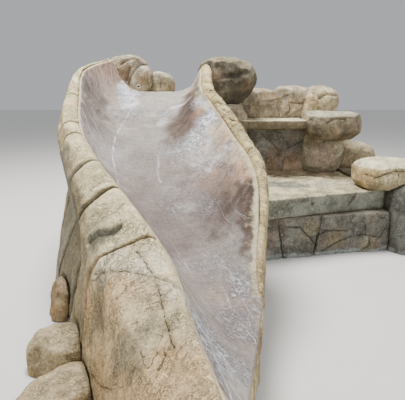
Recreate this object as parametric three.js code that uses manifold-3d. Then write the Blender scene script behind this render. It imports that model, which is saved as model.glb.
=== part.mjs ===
// A rock-clad garden pool slide: a smooth plastered chute held between two walls of carved
// concrete stones, with a landing and a spill ledge beside it. Lengths are millimetres, +Z is up,
// z = 0 is the waterline, +Y runs from the exit up to the crest and +X points to the ledge.
import * as THREE from 'three';
import { mergeVertices } from 'three/addons/utils/BufferGeometryUtils.js';
import Module from 'manifold-3d';

const wasm = await Module();
wasm.setup();

// Driving dimensions
const seam = 0.8; // clearance left between two stones
const chuteThickness = 60;
const crestZ = 1720; // chute floor at the crest, above the water
const landingThickness = 120;
const shelfTop = 660;
const shelfThickness = 220;
const benchTop = 1370;
const benchThickness = 100;
const stations = 26; // facets along the chute
const sectionSteps = 12; // facets across the chute; the walls reach in under the first and last
const reach = 12000; // side of the block that cuts a stone along a joint

const v3 = (x, y, z) => new THREE.Vector3(x, y, z);
const rad = THREE.MathUtils.degToRad;

// The chute's inner lips, from the crest down to the exit
const leftLip = new THREE.CatmullRomCurve3([
  v3(-1150, 5450, 2120), v3(-1350, 4900, 1970), v3(-1225, 4190, 1670), v3(-1070, 3600, 1425),
  v3(-866, 3180, 1249), v3(-598, 2780, 1078), v3(-372, 2430, 934), v3(-160, 2000, 820),
  v3(-45, 1550, 750), v3(105, 1000, 680),
]);
const rightLip = new THREE.CatmullRomCurve3([
  v3(-20, 5230, 2000), v3(0, 4640, 1730), v3(140, 4270, 1545), v3(290, 3860, 1320),
  v3(430, 3470, 1110), v3(440, 3000, 870), v3(370, 2600, 610), v3(360, 2360, 470),
  v3(370, 2330, 455), v3(375, 2300, 440),
]);
// The chute bed: how far across its lowest line lies, its height, and how square the section is
const bed = new THREE.CatmullRomCurve3([
  v3(0.52, crestZ, 4.5), v3(0.51, 1500, 3.4), v3(0.43, 1270, 2.6), v3(0.34, 1055, 2.3),
  v3(0.29, 880, 2.2), v3(0.31, 720, 2.1), v3(0.42, 570, 2.1), v3(0.6, 460, 2.1),
  v3(0.68, 435, 2.1), v3(0.72, 420, 2.1),
]);
// The left wall: coping width, how far out the shoulder reaches, and how far out the foot stands
const leftWall = new THREE.CatmullRomCurve3([
  v3(70, 100, 190), v3(72, 107, 200), v3(145, 155, 220), v3(150, 190, 310), v3(150, 210, 380),
  v3(140, 280, 390), v3(125, 350, 450), v3(120, 370, 460), v3(120, 340, 410), v3(120, 280, 340),
]);
// The right wall: coping width, coping height and foot
const rightWall = new THREE.CatmullRomCurve3([
  v3(120, 45, 170), v3(130, 45, 170), v3(135, 45, 160), v3(130, 45, 150), v3(110, 40, 120),
  v3(55, 20, 60), v3(45, 12, 45), v3(40, 8, 40), v3(30, 5, 30), v3(30, 5, 30),
]);

// A cross-section plane of the chute: its origin on the left lip and its direction to the right
function station(t) {
  const left = leftLip.getPoint(t);
  const right = rightLip.getPoint(t);
  const across = v3(right.x - left.x, right.y - left.y, 0);
  const width = across.length();
  return { left, right, width, across: across.normalize(), bed: bed.getPoint(t) };
}

function floorHeight(s, n) {
  const low = s.bed.x * s.width;
  const side = n < low ? s.left.z - s.bed.y : s.right.z - s.bed.y;
  const share = n < low ? (low - n) / low : (n - low) / (s.width - low);
  return s.bed.y + side * Math.pow(Math.max(share, 0), s.bed.z);
}

// The chute's surface from lip to lip, pushed down square to itself by depth
function bedLine(s, depth, first = 0, last = sectionSteps) {
  const points = [];
  for (let i = first; i <= last; i++) {
    const n = i / sectionSteps * s.width;
    const slope = (floorHeight(s, n + 2) - floorHeight(s, n - 2)) / 4;
    const normal = new THREE.Vector2(slope, -1).normalize();
    points.push(new THREE.Vector2(n, floorHeight(s, n)).addScaledVector(normal, depth));
  }
  return points;
}

// The top of what lies under the chute; at a lip it also keeps clear of the chute's edge
function underLine(s, first, last) {
  const line = bedLine(s, chuteThickness + seam, first, last);
  const slope = (n) => (floorHeight(s, n + 2) - floorHeight(s, n - 2)) / 4;
  if (first === 0) {
    line[0].addScaledVector(new THREE.Vector2(-1, -slope(0)).normalize(), 3 * seam);
  }
  if (last === sectionSteps) {
    const out = new THREE.Vector2(1, slope(s.width)).normalize();
    line[line.length - 1].addScaledVector(out, 3 * seam);
  }
  return line;
}

// A closed body through the outlines at evenly spaced stations
function loft(t0, t1, steps, outline) {
  const rings = [];
  for (let i = 0; i <= steps; i++) {
    const s = station(THREE.MathUtils.lerp(t0, t1, i / steps));
    rings.push({ s, line: outline(s, THREE.MathUtils.lerp(t0, t1, i / steps)) });
  }
  const count = rings[0].line.length;
  const positions = rings.flatMap(({ s, line }) => line.flatMap((p) => [
    s.left.x + s.across.x * p.x, s.left.y + s.across.y * p.x, p.y,
  ]));
  const index = [];
  for (let i = 0; i < steps; i++) {
    for (let j = 0; j < count; j++) {
      const a = i * count + j;
      const b = i * count + ((j + 1) % count);
      index.push(a, b, b + count, a, b + count, a + count);
    }
  }
  for (const [i, start] of [[0, true], [steps, false]]) {
    const line = rings[i].line;
    const turned = THREE.ShapeUtils.area(line) < 0;
    for (const face of THREE.ShapeUtils.triangulateShape(line, [])) {
      const same = THREE.ShapeUtils.area(face.map((k) => line[k])) < 0 === turned;
      const [a, b, c] = face.map((k) => i * count + k);
      index.push(...(same === start ? [a, c, b] : [a, b, c]));
    }
  }
  const geometry = new THREE.BufferGeometry();
  geometry.setAttribute('position', new THREE.Float32BufferAttribute(positions, 3));
  geometry.setIndex(index);
  return solid(geometry);
}

function signedVolume(positions, index) {
  const p = (i) => v3(positions[3 * i], positions[3 * i + 1], positions[3 * i + 2]);
  let sum = 0;
  for (let i = 0; i < index.length; i += 3) {
    sum += p(index[i]).dot(p(index[i + 1]).cross(p(index[i + 2])));
  }
  return sum / 6;
}

function solid(geometry) {
  const plain = geometry.clone();
  plain.deleteAttribute('normal');
  plain.deleteAttribute('uv');
  const merged = mergeVertices(plain, 0.01);
  const vertProperties = new Float32Array(merged.attributes.position.array);
  const triVerts = new Uint32Array(merged.index.array);
  if (signedVolume(vertProperties, triVerts) < 0) {
    triVerts.reverse();
  }
  return new wasm.Manifold(new wasm.Mesh({ numProp: 3, vertProperties, triVerts }));
}

function geometryOf(body) {
  const mesh = body.getMesh();
  const geometry = new THREE.BufferGeometry();
  geometry.setAttribute('position', new THREE.Float32BufferAttribute(mesh.vertProperties, 3));
  geometry.setIndex([...mesh.triVerts]);
  return geometry;
}

// The half of space behind a plane, pulled back from it by half a seam
function behind(point, normal) {
  const block = new THREE.BoxGeometry(reach, reach, reach);
  const n = normal.clone().normalize();
  const turn = new THREE.Quaternion().setFromUnitVectors(v3(0, 0, 1), n);
  const centre = point.clone().addScaledVector(n, -reach / 2 - seam / 2);
  block.applyMatrix4(new THREE.Matrix4().compose(centre, turn, v3(1, 1, 1)));
  return solid(block);
}
const before = (plane) => behind(plane.point, plane.normal);
const after = (plane) => behind(plane.point, plane.normal.clone().negate());

// A joint across a wall at t along a lip, turned in plan and leaned from upright
function joint(lip, t, turn = 0, lean = 0) {
  const normal = lip.getTangent(t).setZ(0).normalize();
  normal.applyAxisAngle(v3(0, 0, 1), rad(turn));
  const level = v3(-normal.y, normal.x, 0);
  normal.applyAxisAngle(level, rad(lean));
  return { point: lip.getPoint(t), normal };
}
const course = (z, slopeX = 0, slopeY = 0) => (
  { point: v3(0, 4000, z), normal: v3(-slopeX, -slopeY, 1) }
);
const plane = (x, y, z, nx, ny, nz) => ({ point: v3(x, y, z), normal: v3(nx, ny, nz) });

// A boulder: a rounded block with a few lumps, at its centre, with its half sizes. Taper says how
// much narrower it gets towards its foot and towards its top
function boulder({
  at, size, turn = [0, 0, 0], square = 3, lump = 0.05, seed = 1, detail = 3, taper = [0, 0],
}) {
  const geometry = mergeVertices(stripped(new THREE.IcosahedronGeometry(1, detail)));
  const p = geometry.attributes.position;
  for (let i = 0; i < p.count; i++) {
    const d = v3().fromBufferAttribute(p, i).normalize();
    const sum = Math.abs(d.x) ** square + Math.abs(d.y) ** square + Math.abs(d.z) ** square;
    const bump = Math.sin(3.1 * d.x + 1.7 * seed) * Math.cos(2.7 * d.y - seed)
      + 0.6 * Math.sin(4.3 * d.z + 2.3 * seed + 2 * d.x);
    d.multiplyScalar(sum ** (-1 / square) * (1 + lump * bump));
    const width = 1 - taper[0] * Math.max(-d.z, 0) - taper[1] * Math.max(d.z, 0);
    p.setXYZ(i, d.x * width * size[0], d.y * width * size[1], d.z * size[2]);
  }
  geometry.applyMatrix4(new THREE.Matrix4().makeRotationFromEuler(
    new THREE.Euler(rad(turn[0]), rad(turn[1]), rad(turn[2]), 'XYZ'),
  ));
  geometry.translate(...at);
  return solid(geometry);
}

function stripped(geometry) {
  geometry.deleteAttribute('normal');
  geometry.deleteAttribute('uv');
  return geometry;
}

// An upright block on a plan outline, from z0 to z1
function slab(outline, z0, z1) {
  const shape = new THREE.Shape(outline.map(([x, y]) => new THREE.Vector2(x, y)));
  const geometry = new THREE.ExtrudeGeometry(shape, { depth: z1 - z0, bevelEnabled: false });
  geometry.translate(0, 0, z0);
  return solid(geometry);
}

// The same body, larger all round by grow
function grown(body, grow = seam) {
  const geometry = geometryOf(body);
  geometry.computeBoundingBox();
  const centre = geometry.boundingBox.getCenter(v3());
  const size = geometry.boundingBox.getSize(v3());
  geometry.translate(-centre.x, -centre.y, -centre.z);
  geometry.scale(1 + 2 * grow / size.x, 1 + 2 * grow / size.y, 1 + 2 * grow / size.z);
  geometry.translate(centre.x, centre.y, centre.z);
  return solid(geometry);
}

const model = new THREE.Group();
const finishes = {
  plaster: new THREE.MeshStandardMaterial({ color: 0xb5aaa2, roughness: 0.85 }),
  stone: new THREE.MeshStandardMaterial({ color: 0xb8a68c, roughness: 0.9 }),
  darkStone: new THREE.MeshStandardMaterial({ color: 0x7b6f62, roughness: 0.9 }),
  core: new THREE.MeshStandardMaterial({ color: 0x8e8a84, roughness: 0.95 }),
  plastic: new THREE.MeshStandardMaterial({ color: 0xe6e4de, roughness: 0.4 }),
};
function add(name, body, finish) {
  const mesh = new THREE.Mesh(geometryOf(body), finishes[finish]);
  mesh.name = name;
  model.add(mesh);
}

// Pieces already standing, each a little enlarged, which the next pieces are cut to fit
const standing = [];
function place(name, body, finish) {
  const rest = standing.reduce((left, other) => left.subtract(other), body);
  const parts = rest.decompose().sort((a, b) => b.volume() - a.volume());
  add(name, parts[0], finish);
  standing.push(grown(body));
}

// The chute
const chuteOutline = (s) => [...bedLine(s, 0), ...bedLine(s, chuteThickness).reverse()];
add('slide_chute', loft(0, 1, stations, chuteOutline), 'plaster');

// The mass under the chute, between the two walls
function coreOutline(s) {
  const top = underLine(s, 1, sectionSteps - 1);
  top[0].x += seam;
  top[top.length - 1].x -= seam;
  return [
    new THREE.Vector2(top[top.length - 1].x, 0),
    ...top.slice().reverse(),
    new THREE.Vector2(top[0].x, 0),
  ];
}
const coreMass = loft(0, 1, stations, coreOutline);
const exitSill = station(0.86);
const sillPlane = {
  point: exitSill.left,
  normal: exitSill.across.clone().applyAxisAngle(v3(0, 0, 1), rad(-90)),
};
add('concrete_core', coreMass.intersect(before(sillPlane)), 'core');
add('exit_sill_stone', coreMass.intersect(after(sillPlane)), 'stone');

// The walls' sections. Each starts under the chute, wraps its lip and ends at the foot
function leftFace(s, t, out = 0) {
  const [coping, shoulder, foot] = leftWall.getPoint(t).toArray().map((width) => width + out);
  const z = s.left.z + out;
  const rise = THREE.MathUtils.lerp(12, 50, THREE.MathUtils.smoothstep(t, 0.05, 0.22));
  const drop = Math.max(0, shoulder - coping - 40) * 0.35;
  const belly = THREE.MathUtils.lerp(-50, 60, THREE.MathUtils.smoothstep(t, 0.45, 0.75));
  return [
    new THREE.Vector2(-seam - 2, s.left.z + 2 + out),
    new THREE.Vector2(-0.22 * coping, z + 0.6 * rise),
    new THREE.Vector2(-0.55 * coping, z + rise),
    new THREE.Vector2(-0.95 * coping, z + 0.6 * rise),
    new THREE.Vector2(-shoulder + 30, z - 15 - drop),
    new THREE.Vector2(-shoulder - 10, z - 90 - drop),
    new THREE.Vector2(-shoulder - belly, 0.6 * z),
    new THREE.Vector2(-THREE.MathUtils.lerp(shoulder + belly, foot, 0.7), 0.25 * z),
    new THREE.Vector2(-foot, 0),
  ];
}
function leftOutline(s, t) {
  const under = underLine(s, 0, 1);
  const inner = under[1].x;
  return [new THREE.Vector2(inner, 0), ...under.reverse(), ...leftFace(s, t)];
}
function rightFace(s, t, out = 0) {
  const [coping, rise, foot] = rightWall.getPoint(t).toArray().map((width) => width + out);
  const z = s.right.z;
  const w = s.width;
  return [
    new THREE.Vector2(w + foot, 0),
    new THREE.Vector2(w + THREE.MathUtils.lerp(coping, foot, 0.6), 0.4 * z),
    new THREE.Vector2(w + coping + 8, z - 50),
    new THREE.Vector2(w + 0.95 * coping, z + 0.3 * rise),
    new THREE.Vector2(w + 0.6 * coping, z + rise),
    new THREE.Vector2(w + 0.25 * coping, z + 0.7 * rise),
    new THREE.Vector2(w + seam + 2, z + 2 + out),
  ];
}
function rightOutline(s, t) {
  const under = underLine(s, sectionSteps - 1, sectionSteps);
  const inner = under[0].x;
  return [...rightFace(s, t), ...under.reverse(), new THREE.Vector2(inner, 0)];
}
const exitStart = 21 / stations; // where the right wall ends and the chute opens over the water
const nosePlane = before(plane(100, 790, 300, 0.15, -1, 0));
const leftMass = loft(0, 1, stations, leftOutline).intersect(nosePlane);
const rightMass = loft(0, exitStart, 21, rightOutline);

// Cuts a wall into stones at its joints, numbered down the slide
function stones(name, first, mass, joints, finish) {
  for (let i = 0; i <= joints.length; i++) {
    const start = i > 0 ? [after(joints[i - 1])] : [];
    const end = i < joints.length ? [before(joints[i])] : [];
    const piece = [...start, ...end].reduce((rest, part) => rest.intersect(part), mass);
    add(`${name}_${first + i}`, piece, finish);
  }
}

// The left wall: three coping stones on two large ones, then four that stand full height
const leftBreak = joint(leftLip, 0.382, 0, 10);
const leftCourse = course(1250, 0, 0.33);
const leftUpper = leftMass.intersect(before(leftBreak));
stones('left_coping_stone', 1, leftUpper.intersect(after(leftCourse)), [
  joint(leftLip, 0.227, 0, 0), joint(leftLip, 0.333, 0, 5),
], 'stone');
stones('left_side_stone', 1, leftUpper.intersect(before(leftCourse)), [
  joint(leftLip, 0.17, 0, -10),
], 'stone');
stones('left_side_stone', 3, leftMass.intersect(after(leftBreak)), [
  joint(leftLip, 0.487, 0, 22), joint(leftLip, 0.577, 0, 15), joint(leftLip, 0.732, -15, 12),
], 'stone');

// The right wall: six coping stones on three large ones that face the water
const rightCourse = course(880, 0, 0.42);
stones('right_coping_stone', 1, rightMass.intersect(after(rightCourse)), [
  joint(rightLip, 0.178), joint(rightLip, 0.264), joint(rightLip, 0.315),
  joint(rightLip, 0.409, 0, -5), joint(rightLip, 0.6, 0, -10),
], 'stone');
stones('right_side_stone', 1, rightMass.intersect(before(rightCourse)), [
  joint(rightLip, 0.24, 0, 8), joint(rightLip, 0.45, 0, -8),
], 'stone');

// The space of the whole slide, a seam larger than it, and the plane behind its crest
const slideSpace = loft(0, 1, stations, (s, t) => [
  ...rightFace(s, Math.min(t, exitStart), seam), ...leftFace(s, t, seam),
]);
const crestPlane = {
  point: leftLip.getPoint(0),
  normal: station(0).across.clone().applyAxisAngle(v3(0, 0, 1), rad(90)),
};
const crestGap = crestPlane.normal.clone().multiplyScalar(seam);
standing.push(slideSpace, solid(geometryOf(slideSpace).translate(crestGap.x, crestGap.y, 0)));
const behindCrest = after(crestPlane);
const dry = after(course(-seam / 2));

const stone = (options) => boulder(options).intersect(dry);
const rock = (name, options, finish = 'stone', ...cuts) => {
  const body = cuts.reduce((rest, part) => rest.intersect(part), stone(options));
  place(name, body, finish);
};

// The lower course of stones along the back
const rearY = 5760;
const rearJoints = [plane(-620, 6000, 600, 1, 0, 0.1), plane(330, 6000, 600, 1, 0, -0.08)];
rearJoints.push(plane(1230, 6000, 600, 1, 0, 0.1));
const rearTops = [1330, 1560, 1250, 1080];
const rearCentres = [-940, -145, 780, 1560];
const rearHalves = [440, 560, 560, 420];
rearTops.forEach((top, i) => {
  const start = i > 0 ? [after(rearJoints[i - 1])] : [];
  const end = i < 3 ? [before(rearJoints[i])] : [];
  rock(`rear_stone_${i + 1}`, {
    at: [rearCentres[i], rearY + 250, 400], size: [rearHalves[i], 250, top - 350],
    square: 8, lump: 0.02, seed: i,
  }, 'stone', after(plane(0, rearY, 0, 0, 1, 0)), before(course(top)), ...start, ...end);
});

// The landing behind the crest, with the rocks that close its left side
const landingOutline = [[-980, 5250], [60, 5150], [60, rearY - seam], [-980, rearY - seam]];
const landing = (z0, z1) => slab(landingOutline, z0, z1).intersect(behindCrest);
place('landing_base', landing(0, crestZ - landingThickness), 'core');
const landingTop = landing(crestZ - landingThickness + seam, crestZ - 8);
place('landing_slab', landingTop, 'stone');
// The water inlet between the left rocks, in a socket that they are cut to
const inletRadius = 25;
const inletAt = v3(-830, 5520, 1775);
function turnedInlet(profile) {
  const geometry = new THREE.LatheGeometry(profile.map(([x, y]) => new THREE.Vector2(x, y)), 24);
  geometry.rotateX(rad(165));
  geometry.translate(inletAt.x, inletAt.y, inletAt.z);
  return solid(geometry);
}
add('water_inlet_fitting', turnedInlet([
  [10, -40], [inletRadius, -40], [inletRadius, 50], [18, 56], [10, 52], [10, -40],
]), 'plastic');
standing.push(turnedInlet([
  [0, -40 - seam], [inletRadius + seam, -40 - seam], [inletRadius + seam, 57], [0, 57],
]));

rock('crest_side_rock', {
  at: [-1230, 5620, 950], size: [160, 240, 1120], square: 7, lump: 0.02, seed: 6,
}, 'stone', behindCrest);
rock('entry_rock_middle', {
  at: [-855, 5725, 1770], size: [150, 240, 290], turn: [0, 14, 0], square: 2.8, lump: 0.04, seed: 2,
}, 'stone', behindCrest, after(course(1570)));
rock('entry_rock_left', {
  at: [-1030, 5830, 1700], size: [290, 290, 490], square: 4.4, lump: 0.03, seed: 4,
}, 'stone', behindCrest, after(course(1330 + seam)));
rock('entry_rock_right', {
  at: [-600, 5840, 1735], size: [190, 190, 245], turn: [0, 12, 0], square: 2.8, lump: 0.04, seed: 7,
}, 'stone', behindCrest, after(course(1570)));

// The round boulder on its base, at the right of the crest
rock('entry_boulder_base', {
  at: [270, 5480, 780], size: [320, 360, 820], square: 6, lump: 0.02, seed: 3,
}, 'stone', before(course(1560)));
rock('entry_boulder', {
  at: [310, 5480, 1830], size: [390, 350, 300], square: 3, lump: 0.03, seed: 5, taper: [0.38, 0],
}, 'darkStone', after(course(1560)));

// The lower shelf over the water, on its core and the carved wall below it
const shelfOutline = [
  [150, 3950], [680, 3950], [1340, 4190], [2080, 4420], [2120, rearY - seam], [-60, rearY - seam],
  [-60, 4700],
];
const coreOutlineBack = shelfOutline.map(([x, y]) => [x, y < 4500 ? y + 330 : y]);
const shelfUnderside = shelfTop - shelfThickness;
place('shelf_slab', slab(shelfOutline, shelfUnderside, shelfTop), 'stone');
place('shelf_core', slab(coreOutlineBack, 0, shelfUnderside - seam), 'core');
const underShelf = before(course(shelfUnderside));
const baseJoint = (x, lean) => plane(x, 4200, 200, 1, -0.3, lean);
const baseRow = [baseJoint(880, 0.2), baseJoint(1260, -0.15), baseJoint(1640, 0.1)];
baseRow.forEach((joint, i) => {
  const start = i > 0 ? [after(baseRow[i - 1])] : [];
  rock(`shelf_wall_rock_${i + 1}`, {
    at: [480 + 420 * i, 4130 + 110 * i, 200], size: [420, 190, 330], square: 7, lump: 0.02, seed: i,
  }, 'stone', underShelf, ...start, before(joint));
});
rock('shelf_wall_rock_4', {
  at: [1820, 4440, 200], size: [260, 240, 330], square: 6, lump: 0.02, seed: 9,
}, 'stone', underShelf, after(baseRow[2]));

// The rocks behind the shelf: the wall of the recess, and the row above the upper ledge
const onShelf = after(course(shelfTop + seam));
const underLedge = before(course(benchTop - benchThickness));
const recessJoint = (x, lean) => plane(x, 5600, 900, 1, 0.1, lean);
const recessRow = [recessJoint(700, 0.1), recessJoint(1150, -0.15)];
rock('recess_side_rock', {
  at: [1655, 5700, 920], size: [275, 300, 300], square: 3.4, lump: 0.04, seed: 5,
}, 'darkStone', onShelf);
rock('recess_rock_1', {
  at: [490, 5880, 900], size: [330, 280, 500], square: 8, lump: 0.02, seed: 2,
}, 'darkStone', onShelf, underLedge, before(recessRow[0]));
rock('recess_rock_2', {
  at: [930, 5900, 900], size: [360, 300, 500], square: 8, lump: 0.02, seed: 6,
}, 'darkStone', onShelf, underLedge, after(recessRow[0]), before(recessRow[1]));
rock('recess_rock_3', {
  at: [1400, 5880, 900], size: [360, 290, 500], square: 8, lump: 0.02, seed: 4,
}, 'darkStone', onShelf, underLedge, after(recessRow[1]));
const ledgeOutline = [[420, 5160], [900, 5130], [1300, 5160], [1340, 5900], [420, 5900]];
place('upper_ledge', slab(ledgeOutline, benchTop - benchThickness + seam, benchTop), 'stone');
const onLedge = after(course(benchTop + seam));
const backJoint = plane(1040, 5900, 1600, 1, 0, 0.2);
rock('back_rock_1', {
  at: [780, 5930, 1400], size: [330, 200, 355], square: 5.5, lump: 0.03, seed: 3,
}, 'stone', onLedge, before(backJoint));
rock('back_rock_2', {
  at: [1270, 5930, 1400], size: [300, 210, 395], square: 5, lump: 0.03, seed: 8,
}, 'stone', onLedge, after(backJoint));
rock('back_rock_3', {
  at: [1615, 5880, 1485], size: [235, 250, 310], turn: [0, 16, 0], square: 3.6, lump: 0.04, seed: 1,
}, 'stone', after(course(1250)));

// The boulders at the right end, from the ledge down to the water
rock('ledge_side_rock', {
  at: [1665, 5330, 1300], size: [350, 320, 180], turn: [0, 3, 0], square: 4, lump: 0.04, seed: 2, taper: [0.16, 0],
}, 'stone');
rock('shelf_rock_rear', {
  at: [2160, 5930, 790], size: [305, 300, 255], turn: [0, 6, 0], square: 3.6, lump: 0.04, seed: 6,
}, 'stone', onShelf);
rock('end_rock', {
  at: [2340, 4530, 320], size: [310, 460, 450], square: 4, lump: 0.03, seed: 8,
}, 'darkStone');
rock('shelf_rock_front', {
  at: [2110, 4560, 810], size: [390, 330, 180], square: 3, lump: 0.04, seed: 3,
}, 'stone', onShelf);
rock('end_rock_rear', {
  at: [2200, 5450, 300], size: [340, 560, 560], square: 5, lump: 0.03, seed: 4,
}, 'stone', before(course(690)));

// The foot rocks against the left wall
rock('foot_rock_1', {
  at: [-1070, 2960, 60], size: [150, 190, 220], square: 2.8, lump: 0.05, seed: 1, detail: 2,
}, 'stone');
rock('foot_rock_2', {
  at: [-930, 2320, 20], size: [180, 210, 190], square: 2.8, lump: 0.05, seed: 6, detail: 2,
}, 'stone');
rock('foot_rock_3', {
  at: [-800, 1930, 0], size: [190, 260, 150], turn: [0, 0, -30], square: 2.8, lump: 0.05, seed: 9, detail: 2,
}, 'stone');

const bounds = new THREE.Box3().setFromObject(model);
model.position.set(
  -(bounds.min.x + bounds.max.x) / 2, -(bounds.min.y + bounds.max.y) / 2, -bounds.min.z,
);

export default model;
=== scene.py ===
import bpy
import math
import numpy as np
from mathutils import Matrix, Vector
from mathutils.noise import fractal as fractalNoise
from mathutils.bvhtree import BVHTree


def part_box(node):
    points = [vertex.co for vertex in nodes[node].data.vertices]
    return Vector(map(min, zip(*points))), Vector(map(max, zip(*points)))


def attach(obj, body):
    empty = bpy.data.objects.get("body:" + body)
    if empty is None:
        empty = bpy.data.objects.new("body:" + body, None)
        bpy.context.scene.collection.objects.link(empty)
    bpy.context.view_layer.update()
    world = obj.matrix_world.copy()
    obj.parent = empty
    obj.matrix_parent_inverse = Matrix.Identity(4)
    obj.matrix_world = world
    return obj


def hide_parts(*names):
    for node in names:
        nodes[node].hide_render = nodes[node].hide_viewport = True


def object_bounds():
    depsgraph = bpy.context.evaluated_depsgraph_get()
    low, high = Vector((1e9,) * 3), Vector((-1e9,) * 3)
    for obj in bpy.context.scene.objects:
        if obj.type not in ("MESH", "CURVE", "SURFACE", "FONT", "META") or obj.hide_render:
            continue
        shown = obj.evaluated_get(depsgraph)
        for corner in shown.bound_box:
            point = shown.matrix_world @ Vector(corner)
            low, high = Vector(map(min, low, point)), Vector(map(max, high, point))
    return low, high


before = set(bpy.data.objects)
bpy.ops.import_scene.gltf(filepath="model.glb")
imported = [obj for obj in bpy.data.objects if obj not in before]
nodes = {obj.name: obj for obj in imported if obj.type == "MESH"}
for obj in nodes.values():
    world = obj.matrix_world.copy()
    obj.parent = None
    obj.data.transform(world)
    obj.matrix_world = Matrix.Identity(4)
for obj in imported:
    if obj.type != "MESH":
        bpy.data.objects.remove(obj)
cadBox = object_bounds()
print("frame loaded,", len(nodes), "nodes")

# where the picture is taken from, in the frame of the model
view = {
    "place": (-0.5550, -3.5193, 1.68),
    "down": 14.5,  # degrees
    "lens": 36.09,
    "floor": (0.80, 0.79, 0.77, 1),
    "floorSize": 90,
    "sky": 0.5,
    "skyColour": (0.95, 0.97, 1, 1),
}


def deselectAll():
    bpy.ops.object.select_all(action="DESELECT")


def makeActive(piece):
    deselectAll()
    piece.select_set(True)
    bpy.context.view_layer.objects.active = piece


def applyModifier(piece, kind, **values):
    makeActive(piece)
    modifier = piece.modifiers.new(kind.title(), kind)
    for key, value in values.items():
        setattr(modifier, key, value)
    bpy.ops.object.modifier_apply(modifier=modifier.name)


# camera, floor and lights
bpy.ops.object.camera_add(
    location=view["place"], rotation=(math.radians(90 - view["down"]), 0, 0))
camera = bpy.context.object
camera.data.lens = view["lens"]
camera.data.sensor_width = 36
camera.data.clip_end = 200
bpy.context.scene.camera = camera

deselectAll()
bpy.ops.mesh.primitive_plane_add(size=view["floorSize"], location=(0, 0, -0.002))
studioFloor = bpy.context.object
studioFloor.name = "studioFloor"
floorPaint = bpy.data.materials.new("floorPaint")
floorPaint.use_nodes = True
floorInputs = floorPaint.node_tree.nodes["Principled BSDF"].inputs
floorInputs["Base Color"].default_value = view["floor"]
floorInputs["Roughness"].default_value = 0.9
studioFloor.data.materials.append(floorPaint)

world = bpy.data.worlds.new("softRoom")
bpy.context.scene.world = world
world.use_nodes = True
skyInputs = world.node_tree.nodes["Background"].inputs
skyInputs["Color"].default_value = view["skyColour"]
skyInputs["Strength"].default_value = view["sky"]

lamps = {  # name: place, size, power, colour, aimed at
    "keyLamp": ((-2.0, 2.0, 8.5), 4.0, 1400, (1, 0.97, 0.92), (0, 0, 0.8)),
    "fillLamp": ((3.0, -7.5, 4.0), 6.0, 330, (0.98, 0.98, 1), (0, 0, 0.8)),
}
for name, (place, size, power, colour, target) in lamps.items():
    aim = (Vector(target) - Vector(place)).to_track_quat("-Z", "Y")
    bpy.ops.object.light_add(type="AREA", location=place, rotation=aim.to_euler())
    lamp = bpy.context.object
    lamp.name = name
    lamp.data.shape = "DISK"
    lamp.data.size = size
    lamp.data.energy = power
    lamp.data.color = colour
print("camera and lights placed")


# small helpers for node trees
def addNode(tree, kind, **values):
    node = tree.nodes.new(kind)
    for key, value in values.items():
        setattr(node, key, value)
    return node


def join(tree, start, end):
    tree.links.new(start, end)


def feed(tree, value, socket):
    # a plain value is set on the socket, anything else is linked to it
    if isinstance(value, (int, float, tuple)):
        socket.default_value = value
    else:
        join(tree, value, socket)


def mathNode(tree, operation, first, second=None, clamp=False):
    node = addNode(tree, "ShaderNodeMath", operation=operation, use_clamp=clamp)
    feed(tree, first, node.inputs[0])
    if second is not None:
        feed(tree, second, node.inputs[1])
    return node.outputs[0]


def times(tree, *values):
    product = values[0]
    for value in values[1:]:
        product = mathNode(tree, "MULTIPLY", product, value)
    return product


def flip(tree, value):
    return mathNode(tree, "SUBTRACT", 1.0, value)


def centred(tree, noise):
    # a noise from 0 to 1 becomes one that lies evenly about zero
    return mathNode(tree, "SUBTRACT", noise, 0.5)


def vectorNode(tree, operation, first, second=None, scale=None):
    node = addNode(tree, "ShaderNodeVectorMath", operation=operation)
    feed(tree, first, node.inputs[0])
    if second is not None:
        feed(tree, second, node.inputs[1])
    if scale is not None:
        feed(tree, scale, node.inputs["Scale"])
    single = operation in ("DOT_PRODUCT", "LENGTH", "DISTANCE")
    return node.outputs["Value"] if single else node.outputs["Vector"]


def mixColour(tree, factor, first, second, blend="MIX"):
    # a mix node keeps its factor, its two colours and the mixed one at these numbers
    node = addNode(tree, "ShaderNodeMix", data_type="RGBA", blend_type=blend)
    for number, value in ((0, factor), (6, first), (7, second)):
        feed(tree, value, node.inputs[number])
    return node.outputs[2]


def noiseNode(tree, point, scale, detail=4.0, rough=0.55, warp=0.0):
    node = addNode(tree, "ShaderNodeTexNoise")
    feed(tree, scale, node.inputs["Scale"])
    node.inputs["Detail"].default_value = detail
    node.inputs["Roughness"].default_value = rough
    node.inputs["Distortion"].default_value = warp
    join(tree, point, node.inputs["Vector"])
    return node.outputs["Fac"]


def rampNode(tree, value, low, high, bottom=0.0, top=1.0, smooth=True):
    curve = "SMOOTHSTEP" if smooth else "LINEAR"
    node = addNode(tree, "ShaderNodeMapRange", interpolation_type=curve)
    for label, setting in zip(("From Min", "From Max", "To Min", "To Max"), (low, high, bottom, top)):
        feed(tree, setting, node.inputs[label])
    join(tree, value, node.inputs["Value"])
    return node.outputs["Result"]


def shadeBy(tree, colour, value, low, high, dark, bright):
    # lightens and darkens a colour by a noise
    shade = rampNode(tree, value, low, high, dark, bright, False)
    return mixColour(tree, 1.0, colour, shade, "MULTIPLY")


def creases(tree, noise, thin, thick):
    # thin lines where a noise passes its middle
    away = mathNode(tree, "ABSOLUTE", centred(tree, noise))
    return flip(tree, rampNode(tree, away, thin, thick))


def newGroup(name, inputs, outputs):
    group = bpy.data.node_groups.new(name, "ShaderNodeTree")
    for label, kind, value in inputs:
        socket = group.interface.new_socket(label, in_out="INPUT", socket_type=kind)
        if value is not None:
            socket.default_value = value
    for label, kind in outputs:
        group.interface.new_socket(label, in_out="OUTPUT", socket_type=kind)
    return group, addNode(group, "NodeGroupInput").outputs, addNode(group, "NodeGroupOutput").inputs


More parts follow.
